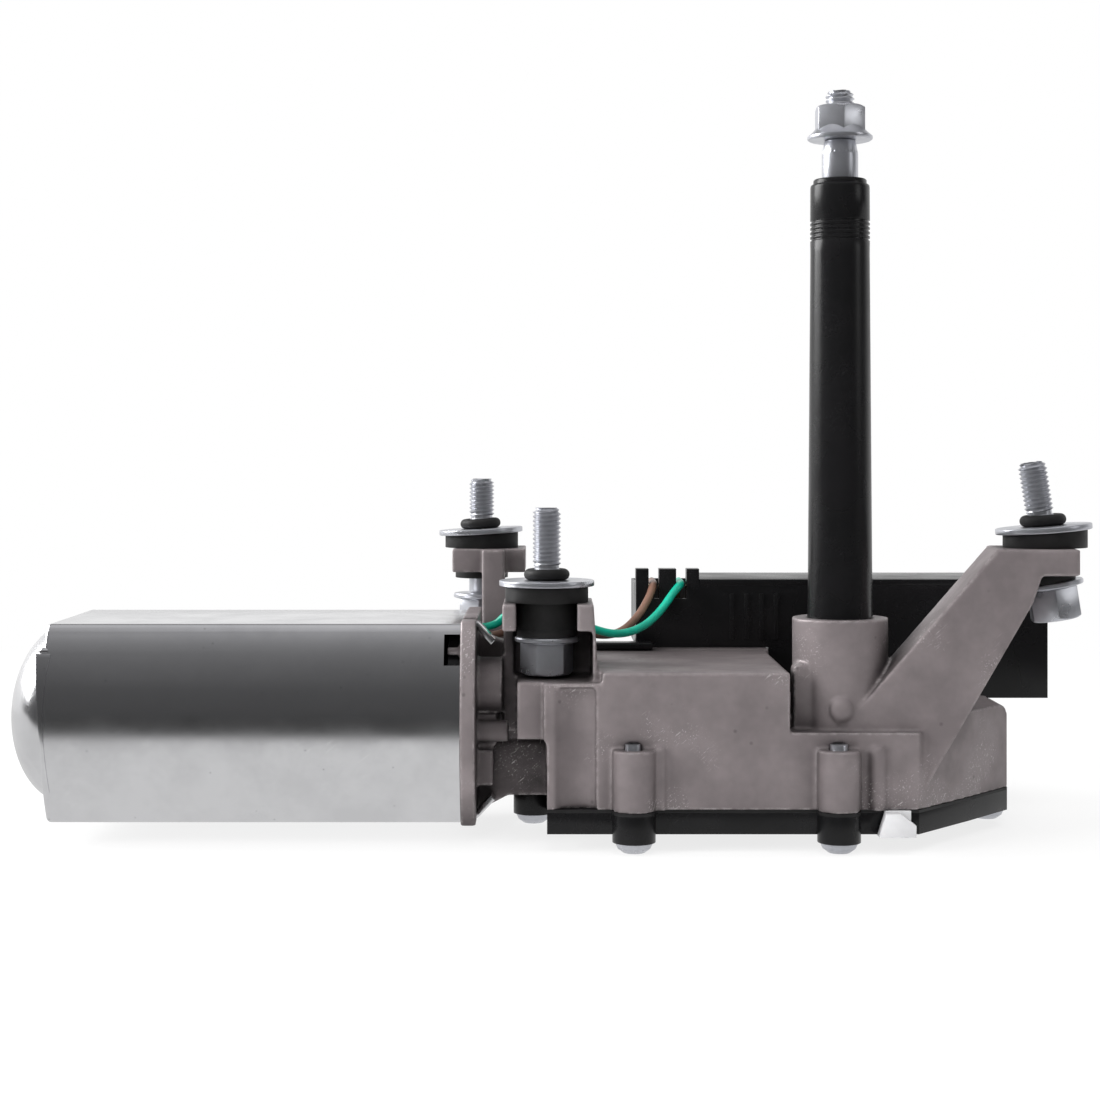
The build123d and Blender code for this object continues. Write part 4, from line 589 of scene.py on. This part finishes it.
def rod(x, y, radius, low, high):
    bpy.ops.object.select_all(action="DESELECT")
    bpy.ops.mesh.primitive_cylinder_add(vertices=24, radius=radius * mm, depth=(high - low) * mm,
                                        location=(x * mm, y * mm, (low + high) / 2 * mm))
    return settle(bpy.context.object)


def ball(x, y, z, radius, flat):
    bpy.ops.object.select_all(action="DESELECT")
    bpy.ops.mesh.primitive_uv_sphere_add(segments=24, ring_count=16, radius=radius * mm,
                                         location=(x * mm, y * mm, z * mm))
    bpy.ops.transform.resize(value=flat)
    return settle(bpy.context.object)


def brick(sides):
    left, right, front, back, low, high = [side * mm for side in sides]
    middle = ((left + right) / 2, (front + back) / 2, (low + high) / 2)
    bpy.ops.object.select_all(action="DESELECT")
    bpy.ops.mesh.primitive_cube_add(size=1, location=middle)
    bpy.ops.transform.resize(value=(right - left, back - front, high - low))
    return settle(bpy.context.object)


# the nodes that take the brighter hardware finish
hardware = ("isolator_bolts", "isolator_washers", "spindle_nut", "wiper_spindle", "cover_screws")


def dress(piece, node):
    piece.data.materials.clear()
    piece.data.materials.append(materials["bright_hardware" if node in hardware else slotOf[node]])
    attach(piece, bodyOf[node])
    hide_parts(node)


def handOver(piece, node, angle):
    onlySelect(piece)
    bpy.ops.object.shade_smooth_by_angle(angle=math.radians(angle))
    dress(piece, node)


# ---- rolled threads and hexagons, for the bolts, the spindle and its nut

threadForm = {
    "pitch": 1.25,
    "steps": 30,
    # share of the way from root to crest, and share of the pitch
    "flank": ((0, 0), (0, 0.14), (1, 0.46), (1, 0.62), (0, 0.94), (0, 1)),
    # depth from the end, and how far the turns there narrow
    "tipNarrows": ((1.2, 0.94), (0.7, 0.93), (0.3, 0.93)),
    "footNarrows": ((0.5, 0.93),),
}
hexagonForm = {
    "acrossFlats": 13.0,
    "chamfer": 1.4,
    "faceInset": 0.25,
    "rounding": 0.22,
}


def makeThread(name, root, crest, low, high):
    # one pitch of the flank is drawn, then wound up by the Screw modifier and trimmed flat
    pitch, steps = threadForm["pitch"], threadForm["steps"]
    start = low - 2 * pitch
    piece = drawLine(name, [(root + (crest - root) * share, 0, start + rise * pitch)
                            for share, rise in threadForm["flank"]])
    bpy.ops.object.mode_set(mode="OBJECT")
    turns = math.ceil((high - start) / pitch) + 1
    useModifier(piece, "SCREW", axis="Z", angle=2 * math.pi, screw_offset=pitch * mm,
                iterations=turns, steps=steps, render_steps=steps)
    weld(piece)
    cutAt(piece, (0, 0, low), (0, 0, -1))
    cutAt(piece, (0, 0, high), (0, 0, 1))
    ends = [(high, *row) for row in threadForm["tipNarrows"]]
    ends += [(low, *row) for row in threadForm["footNarrows"]]
    for end, depth, share in ends:
        pickOut(piece, "VERT", lambda point: abs(point.co.z / mm - end) < depth)
        bpy.ops.transform.resize(value=(share, share, 1), center_override=(0, 0, 0))
    bpy.ops.object.mode_set(mode="OBJECT")
    weld(piece)
    return piece


def makeHexagon(name, low, high, chamferUp, turn):
    flats, chamfer = hexagonForm["acrossFlats"], hexagonForm["chamfer"]
    corner = flats / math.sqrt(3)
    face = flats / 2 - hexagonForm["faceInset"]
    bpy.ops.object.select_all(action="DESELECT")
    bpy.ops.mesh.primitive_cylinder_add(vertices=6, radius=corner * mm, depth=(high - low) * mm,
                                        location=(0, 0, (low + high) / 2 * mm),
                                        rotation=(0, 0, math.radians(turn - 30)))
    piece = settle(bpy.context.object)
    piece.name = name
    near, far, way = (low, high, 1) if chamferUp else (high, low, -1)
    profile = [(0, near - way), (corner + 1, near - way), (corner + 1, far - way * chamfer),
               (face, far), (0, far)]
    trim(piece, turnOut("hexTrim", profile, 64), "INTERSECT")
    softEdges(piece, hexagonForm["rounding"], 25)
    return piece


# ---- isolator bolts, with flanged hexagon heads

isolatorBolt = {
    "root": 3.42,
    "crest": 3.93,
    "relief": 3.4,
    "shank": 4.0,
    "flange": (8.95, 1.9),  # radius and thickness
    "headHeight": 8.8,
    "dish": (4.6, 4.0, 0.6, 1.2),  # the hollow in the head: its mouth, floor, side and depth
}
# x and y, the head flange's top, the thread's start and tip, the height it leans about, lean, turn
studs = {
    "frontBolt": (-82.1, 0.0, 52.5, 72.2, 88.4, 62.2, 0.0, 8),
    "backBolt": (-103.0, 79.0, 59.3, 83.8, 95.6, 73.8, 0.0, 24),
    "rightBolt": (57.4, 0.0, 67.7, 87.4, 101.4, 77.4, 9.0, 24),
}


def makeBolt(name, place):
    x, y, headTop, threadLow, tip, pivot, lean, turn = place
    wide, thick = isolatorBolt["flange"]
    shank, relief = isolatorBolt["shank"], isolatorBolt["relief"]
    low = headTop - thick
    shaft = turnOut(name, [
        (0, low - 0.2), (6.1, low - 0.2), (7.4, low + 0.1), (wide - 0.25, low + 0.45),
        (wide, low + 0.7), (wide, headTop - 0.5), (wide - 0.25, headTop - 0.12),
        (wide - 0.7, headTop), (shank + 0.5, headTop), (shank, headTop + 0.5),
        (shank, threadLow - 1.5), (shank - 0.3, threadLow - 1.1), (relief, threadLow - 0.7),
        (relief, threadLow + 0.4), (0, threadLow + 0.4)])
    end = low - isolatorBolt["headHeight"]
    head = makeHexagon("hexHead", end, low, False, turn)
    mouth, floor, side, deep = isolatorBolt["dish"]
    dish = turnOut("headDish", [(0, end - 1), (mouth, end - 1), (floor, end + side), (0, end + deep)])
    trim(head, dish, "DIFFERENCE")
    thread = makeThread("boltThread", isolatorBolt["root"], isolatorBolt["crest"], threadLow, tip)
    bolt = joined(name, shaft, head, thread)
    tilt = Matrix.Rotation(-math.radians(lean), 4, "Y")
    up = Matrix.Translation((0, 0, pivot * mm))
    putAt(bolt, Matrix.Translation((x * mm, y * mm, 0)) @ up @ tilt @ up.inverted())
    handOver(bolt, "isolator_bolts", 30)


for name, place in studs.items():
    makeBolt(name, place)
print("isolator bolts made")


# ---- wiper spindle and its flange nut

spindle = {
    "root": 3.45,
    "crest": 4.0,
    "threadLow": 190.9,
    "tip": 204.9,
    "overlap": 0.25,  # how far the shaft runs into the thread
    "edge": 0.12,
}
spindleNut = {
    "low": 191.2,
    "flange": 9.1,
    "height": 9.6,
    "turn": 30,
}


def makeSpindle():
    low = spindle["threadLow"]
    shaft = copyOf("wiper_spindle", "spindleShaft")
    cutAt(shaft, (0, 0, low + spindle["overlap"]), (0, 0, 1))
    softEdges(shaft, spindle["edge"], 30)
    thread = makeThread("spindleThread", spindle["root"], spindle["crest"], low, spindle["tip"])
    handOver(joined("wiperSpindle", shaft, thread), "wiper_spindle", 30)


def makeSpindleNut():
    low, wide = spindleNut["low"], spindleNut["flange"]
    bore = spindle["crest"] + 0.02
    top = low + spindleNut["height"]
    flange = turnOut("nutFlange", [
        (bore, low), (wide - 0.5, low), (wide - 0.1, low + 0.25), (wide, low + 0.55),
        (wide - 0.05, low + 1.1), (wide - 0.5, low + 1.45), (7.6, low + 2.3), (6.6, low + 3.6),
        (6.4, low + 4.0), (bore, low + 4.0), (bore, low)])
    hexagon = makeHexagon("nutHexagon", low + 1.0, top, True, spindleNut["turn"])
    tool = turnOut("nutBore", [(0, low), (bore, low), (bore, top - 0.7), (bore + 1.0, top + 0.3),
                               (0, top + 0.3)])
    trim(hexagon, tool, "DIFFERENCE")
    handOver(joined("spindleNut", flange, hexagon), "spindle_nut", 30)


makeSpindle()
makeSpindleNut()
print("spindle and nut made")


# ---- spindle sleeve, moulded with rings near its top

sleeve = {
    "base": 9.1,
    "top": 8.25,
    "bore": 6.6,
    "foot": 49.8,
    "bossTop": 57.8,
    "shoulder": (6, 0.12),  # how far above the boss the taper starts, and how much it steps in
    "taper": 96,
    "firstRing": 163.0,
    "rings": 5,
    "ringStep": 1.25,
    # past the sleeve's top radius, and past the ring's height
    "ring": ((0.05, -0.12), (-0.02, 0), (-0.32, 0.14), (-0.32, 0.5), (-0.02, 0.64), (0.05, 0.74)),
    "end": 180.2,
    "mouth": ((0, -2.3), (-0.12, -1.7), (-0.5, -1.4), (-0.8, -1.35), (-0.85, -0.3), (-1.1, 0)),
}


def makeSleeve():
    base, top, bore, end = sleeve["base"], sleeve["top"], sleeve["bore"], sleeve["end"]
    rise, inset = sleeve["shoulder"]
    start = sleeve["bossTop"] + rise
    profile = [(bore, sleeve["foot"]), (base, sleeve["foot"]), (base, sleeve["bossTop"]),
               (base - inset, start)]
    for share in (0.33, 0.66, 1.0):
        profile.append((base - inset + (top + inset - base) * share, start + share * sleeve["taper"]))
    for count in range(sleeve["rings"]):
        height = sleeve["firstRing"] + count * sleeve["ringStep"]
        profile += [(top + out, height + up) for out, up in sleeve["ring"]]
    profile += [(top + out, end + up) for out, up in sleeve["mouth"]]
    profile += [(bore + 0.2, end), (bore, end - 0.2), (bore, sleeve["foot"])]
    handOver(turnOut("spindleSleeve", profile, 72), "spindle_sleeve", 50)


makeSleeve()
print("sleeve made")


# ---- the motor's section, a pressed steel tube with a flat top and bottom

motorTube = {
    "y": 18.0,
    "z": 29.1,
    "bulge": 51.3,  # radius of its round front and back
    "front": -16.0,
    "halfHeight": 27.5,
    "steps": 256,
}


def makeSection(name, left, right, spread=0.0):
    # two wide arcs, front and back, with a flat top and bottom
    halves = []
    for side in (1, -1):
        y = motorTube["y"] + side * (motorTube["bulge"] - motorTube["y"] + motorTube["front"])
        place = ((left + right) / 2 * mm, y * mm, motorTube["z"] * mm)
        bpy.ops.object.select_all(action="DESELECT")
        # the second half is longer, so that its ends don't meet those of the first
        bpy.ops.mesh.primitive_cylinder_add(vertices=motorTube["steps"],
                                            radius=(motorTube["bulge"] + spread) * mm,
                                            depth=(right - left + 1 - side) * mm,
                                            rotation=(0, math.radians(90), 0), location=place)
        halves.append(settle(bpy.context.object))
    piece, other = halves
    trim(piece, other, "INTERSECT")
    for side in (1, -1):
        height = motorTube["z"] + side * (motorTube["halfHeight"] + spread)
        cutAt(piece, (0, 0, height), (0, 0, side))
    piece.name = name
    return piece


def boreTool(x, radius):
    turned = Matrix.Rotation(math.radians(90), 4, "Y")
    place = Matrix.Translation((x * mm, motorTube["y"] * mm, motorTube["z"] * mm))
    return putAt(rod(0, 0, radius, -20, 20), place @ turned)


# ---- gear housing: the casting's small forms are added, then all is fused and its edges run soft

casting = {
    "grain": 0.55,  # mm, the size of the fusing cells
    "smooth": 3,
    "mostTriangles": 186000,
    # upright pads beside the screw bosses: x, y, radius, low, high
    "pads": [(-51.6, -15.0, 2.6, 6.6, 22.8), (8.0, -15.0, 2.8, 6.6, 22.8)],
    "dimple": (-1.4, -13.3, 33.5, 3.4),  # a small domed boss on the spindle boss: x, y, z, radius
    # from here on: left, right, front, back, low, high
    "web": (-103.0, -82.0, 8.0, 14.0, 7.0, 21.6),  # between the motor's flange and the fork
    "shelf": (-50.0, -14.6, 49.0, 58.0, 41.5, 44.1),  # the lip that the electronics box rests on
    "strapWays": [(-107.0, -100.0, -1.3, 7.3, 54.4, 60.0), (-107.0, -100.0, -1.3, 7.3, -1.0, 3.8)],
}
flangePlate = {
    "left": -105.9,
    "right": -101.7,
    "spread": 0.8,  # how far it stands past the can
    "bore": 27.0,
}


def makeFlange():
    left = flangePlate["left"]
    flange = makeSection("flangePlate", left, flangePlate["right"], flangePlate["spread"])
    trim(flange, boreTool(left, flangePlate["bore"]), "DIFFERENCE")
    for way in casting["strapWays"]:
        trim(flange, brick(way), "DIFFERENCE")
    return flange


def makeHousing():
    shell = copyOf("gear_housing", "gearHousing")
    extras = []
    for x, y, radius, low, high in casting["pads"]:
        extras += [rod(x, y, radius, low, high), ball(x, y, high, radius, (1, 1, 0.6))]
    extras.append(ball(*casting["dimple"], (1, 0.6, 1)))
    extras += [brick(casting["shelf"]), brick(casting["web"]), makeFlange()]
    joined("gearHousing", shell, *extras)
    useModifier(shell, "REMESH", mode="VOXEL", voxel_size=casting["grain"] * mm, adaptivity=0.0)
    useModifier(shell, "SMOOTH", factor=0.5, iterations=casting["smooth"])
    triangles = sum(len(face.vertices) - 2 for face in shell.data.polygons)
    if triangles > casting["mostTriangles"]:
        useModifier(shell, "DECIMATE", ratio=casting["mostTriangles"] / triangles)
    handOver(shell, "gear_housing", 70)
    print("housing fused,", triangles, "triangles before thinning")


makeHousing()


# ---- motor can and end bell

motorCan = {
    "left": -220.3,
    "right": -105.9,
    "wall": 2.0,
    "rim": 1.6,  # how far the left rim and the long corners are rounded
    "spare": 4,  # extra length, cut off again, so that the right end stays square
    "notch": (-110.3, -104.9, -17.0, -7.0, 45.6, 53.8),  # left, right, front, back, low, high
    "lipNotch": (-18, -3),
    "strapGap": 0.02,
    "strapEdge": 0.4,
}
endBell = {
    # the crescent lip, as points of x and height
    "lip": [(-222.0, 48.7), (-221.2, 39.2), (-220.4, 28.3), (-219.3, 18.7), (-218.2, 10.6),
            (-219.2, 25.5), (-219.4, 35.1), (-218.9, 41.9), (-218.0, 48.7)],
    "lipDepth": (-17.5, -4),
    "lipEdge": 0.3,
    "lipRound": (-224, -212, 0.35),
    "start": -219.0,
    "reach": (16.0, 30.0, 26.0),  # the dome's, along x, y and z
    "wall": 0.9,
    "seat": (-0.1, 1.4, -2.2),  # its ends past the dome's start, and its edge past the can
    "seatBore": 23.0,
    "bead": (-219.9, -10.6, 49.2, 1.5, (1.3, 1, 0.8)),  # x, y, z, radius and stretch
    "bushCup": (-232.8, -222.0, 8.0, 28.0, 19.0, 39.0),
}


def makeCan():
    right = motorCan["right"]
    can = makeSection("motorCan", motorCan["left"], right + motorCan["spare"])
    softEdges(can, motorCan["rim"], 25, 4)
    cutAt(can, (right, 0, 0), (1, 0, 0))
    openEnd(can, -1)
    openEnd(can, 1)
    useModifier(can, "SOLIDIFY", thickness=motorCan["wall"] * mm, offset=-1)
    trim(can, brick(motorCan["notch"]), "DIFFERENCE")
    # the exact solver leaves nothing of the can here
    trim(can, makePlate("lipNotch", endBell["lip"], *motorCan["lipNotch"]), "DIFFERENCE", "FAST")
    straps = copyOf("motor_can", "canStraps")
    cutAt(straps, (right + motorCan["strapGap"], 0, 0), (-1, 0, 0))
    softEdges(straps, motorCan["strapEdge"])
    handOver(joined("motorCan", can, straps), "motor_can", 30)


def makeDome():
    start = endBell["start"]
    middle = [start * mm, motorTube["y"] * mm, motorTube["z"] * mm]
    bpy.ops.object.select_all(action="DESELECT")
    bpy.ops.mesh.primitive_uv_sphere_add(segments=128, ring_count=64, radius=mm, location=middle,
                                         rotation=(0, math.radians(90), 0))
    dome = settle(bpy.context.object)
    editAll(dome)
    bpy.ops.transform.resize(value=endBell["reach"], center_override=middle)
    bpy.ops.object.mode_set(mode="OBJECT")
    cutAt(dome, (start, 0, 0), (1, 0, 0))
    openEnd(dome, 1)
    useModifier(dome, "SOLIDIFY", thickness=endBell["wall"] * mm, offset=-1)
    return dome


def makeBell():
    start = endBell["start"]
    dome = makeDome()
    left, right, spread = endBell["seat"]
    seat = makeSection("bellSeat", start + left, start + right, spread)
    trim(seat, boreTool(start, endBell["seatBore"]), "DIFFERENCE")
    lip = makePlate("bellLip", endBell["lip"], *endBell["lipDepth"])
    trim(lip, makeSection("lipRound", *endBell["lipRound"]), "INTERSECT")
    softEdges(lip, endBell["lipEdge"], 30, 3)
    bead = ball(*endBell["bead"])
    cup = copyOf("end_bell", "bushCup")
    trim(cup, brick(endBell["bushCup"]), "INTERSECT")
    handOver(joined("endBell", dome, seat, lip, bead, cup), "end_bell", 30)


makeCan()
makeBell()
print("motor can and end bell made")


# ---- pressed and moulded shells that keep the CAD's shape and get the soft edges of the real ones

softShells = {
    "bottom_cover": ("bottomCover", 0.45),
    "electronics_box": ("electronicsBox", 0.4),
    "box_lid": ("boxLid", 0.4),
    "vent_plug": ("ventPlug", 0.3),
    "cover_screws": ("coverScrews", 0.3),
    "isolator_washers": ("isolatorWashers", 0.28),
    "rubber_grommets": ("rubberGrommets", 0.45),
}
boxForm = {
    "cornerStandsIn": 1.2,  # mm that the box's back left corner stands in
    "cornerWidth": 0.6,
    "cornerFront": 50,
    "tongue": (-69.0, -50.0, 45.0, 51.5, 44.1, 46.4),  # left, right, front, back, low, high
    "tongueEdge": 0.8,
}
screwTips = {
    "narrow": 0.62,  # the tips of the two front screws, which stand out of their bosses
    "abovePad": 0.6,
    "nearPad": 8,
}


def changeBox(piece):
    left = min(point.co.x for point in piece.data.vertices) / mm + boxForm["cornerWidth"]
    front = boxForm["cornerFront"]
    pickOut(piece, "VERT", lambda point: point.co.x / mm < left and point.co.y / mm > front)
    bpy.ops.transform.translate(value=(boxForm["cornerStandsIn"] * mm, 0, 0))
    bpy.ops.object.mode_set(mode="OBJECT")
    tongue = brick(boxForm["tongue"])
    softEdges(tongue, boxForm["tongueEdge"], 30, 3)
    joined("electronicsBox", piece, tongue)


def isTip(place, x, high):
    beside = abs(place.x - x) < screwTips["nearPad"] and place.y < 0
    return beside and place.z > high + screwTips["abovePad"]


def changeScrews(piece):
    narrow = screwTips["narrow"]
    for x, _, _, _, high in casting["pads"]:
        pickOut(piece, "VERT", lambda point: isTip(point.co / mm, x, high))
        bpy.ops.transform.resize(value=(narrow, narrow, 1))
        bpy.ops.object.mode_set(mode="OBJECT")


def makeSoftShell(node, name, width):
    piece = copyOf(node, name)
    editAll(piece, "FACE")
    bpy.ops.mesh.dissolve_limited(angle_limit=math.radians(0.4))
    bpy.ops.object.mode_set(mode="OBJECT")
    softEdges(piece, width)
    if node == "cover_screws":
        changeScrews(piece)
    if node == "electronics_box":
        changeBox(piece)
    handOver(piece, node, 34)


for node, (name, width) in softShells.items():
    makeSoftShell(node, name, width)
print("soft-edged shells made")


# ---- leads from the motor to the electronics box, on part.py's routes

leads = {
    "greenLead": {
        "node": "green_wire",
        "length": 96.7,
        "radius": 1.2,
        "route": [(-105.7, 30, 52.1), (-98, 30, 52.1), (-94, 28.8, 56.4), (-87, 26.8, 59.0),
                  (-78, 27, 56.6), (-69, 29, 52.0), (-61, 32, 49.8), (-53.4, 37, 51.6),
                  (-47.6, 42.6, 56.4), (-43.4, 48.2, 61.8), (-40.95, 54, 63.6), (-40.75, 61, 63.5),
                  (-40.85, 68, 63.6)],
    },
    "brownLead": {
        "node": "brown_wire",
        "length": 84.2,
        "radius": 1.2,
        "route": [(-105.7, 34.5, 49.1), (-97.5, 34.5, 49.1), (-91, 33.6, 52.6), (-83, 33.4, 53.8),
                  (-74, 35, 51.6), (-66, 37.6, 49.0), (-59.4, 40.6, 50.0), (-54.2, 44.6, 54.8),
                  (-50.8, 49, 60.2), (-49.5, 54.6, 63.2), (-49.2, 61.4, 63.5), (-49.3, 68, 63.6)],
    },
}


def makeLead(name, lead):
    data = bpy.data.curves.new(name, "CURVE")
    data.dimensions = "3D"
    data.bevel_depth = lead["radius"] * mm
    data.bevel_resolution = 6
    data.resolution_u = 12
    data.use_fill_caps = True
    line = data.splines.new("NURBS")
    line.points.add(len(lead["route"]) - 1)
    for point, (x, y, z) in zip(line.points, lead["route"]):
        point.co = (x * mm, y * mm, z * mm, 1)
    line.order_u = 3
    line.use_endpoint_u = True
    piece = bpy.data.objects.new(name, data)
    bpy.context.scene.collection.objects.link(piece)
    dress(piece, lead["node"])


for name, lead in leads.items():
    makeLead(name, lead)
print("leads made")
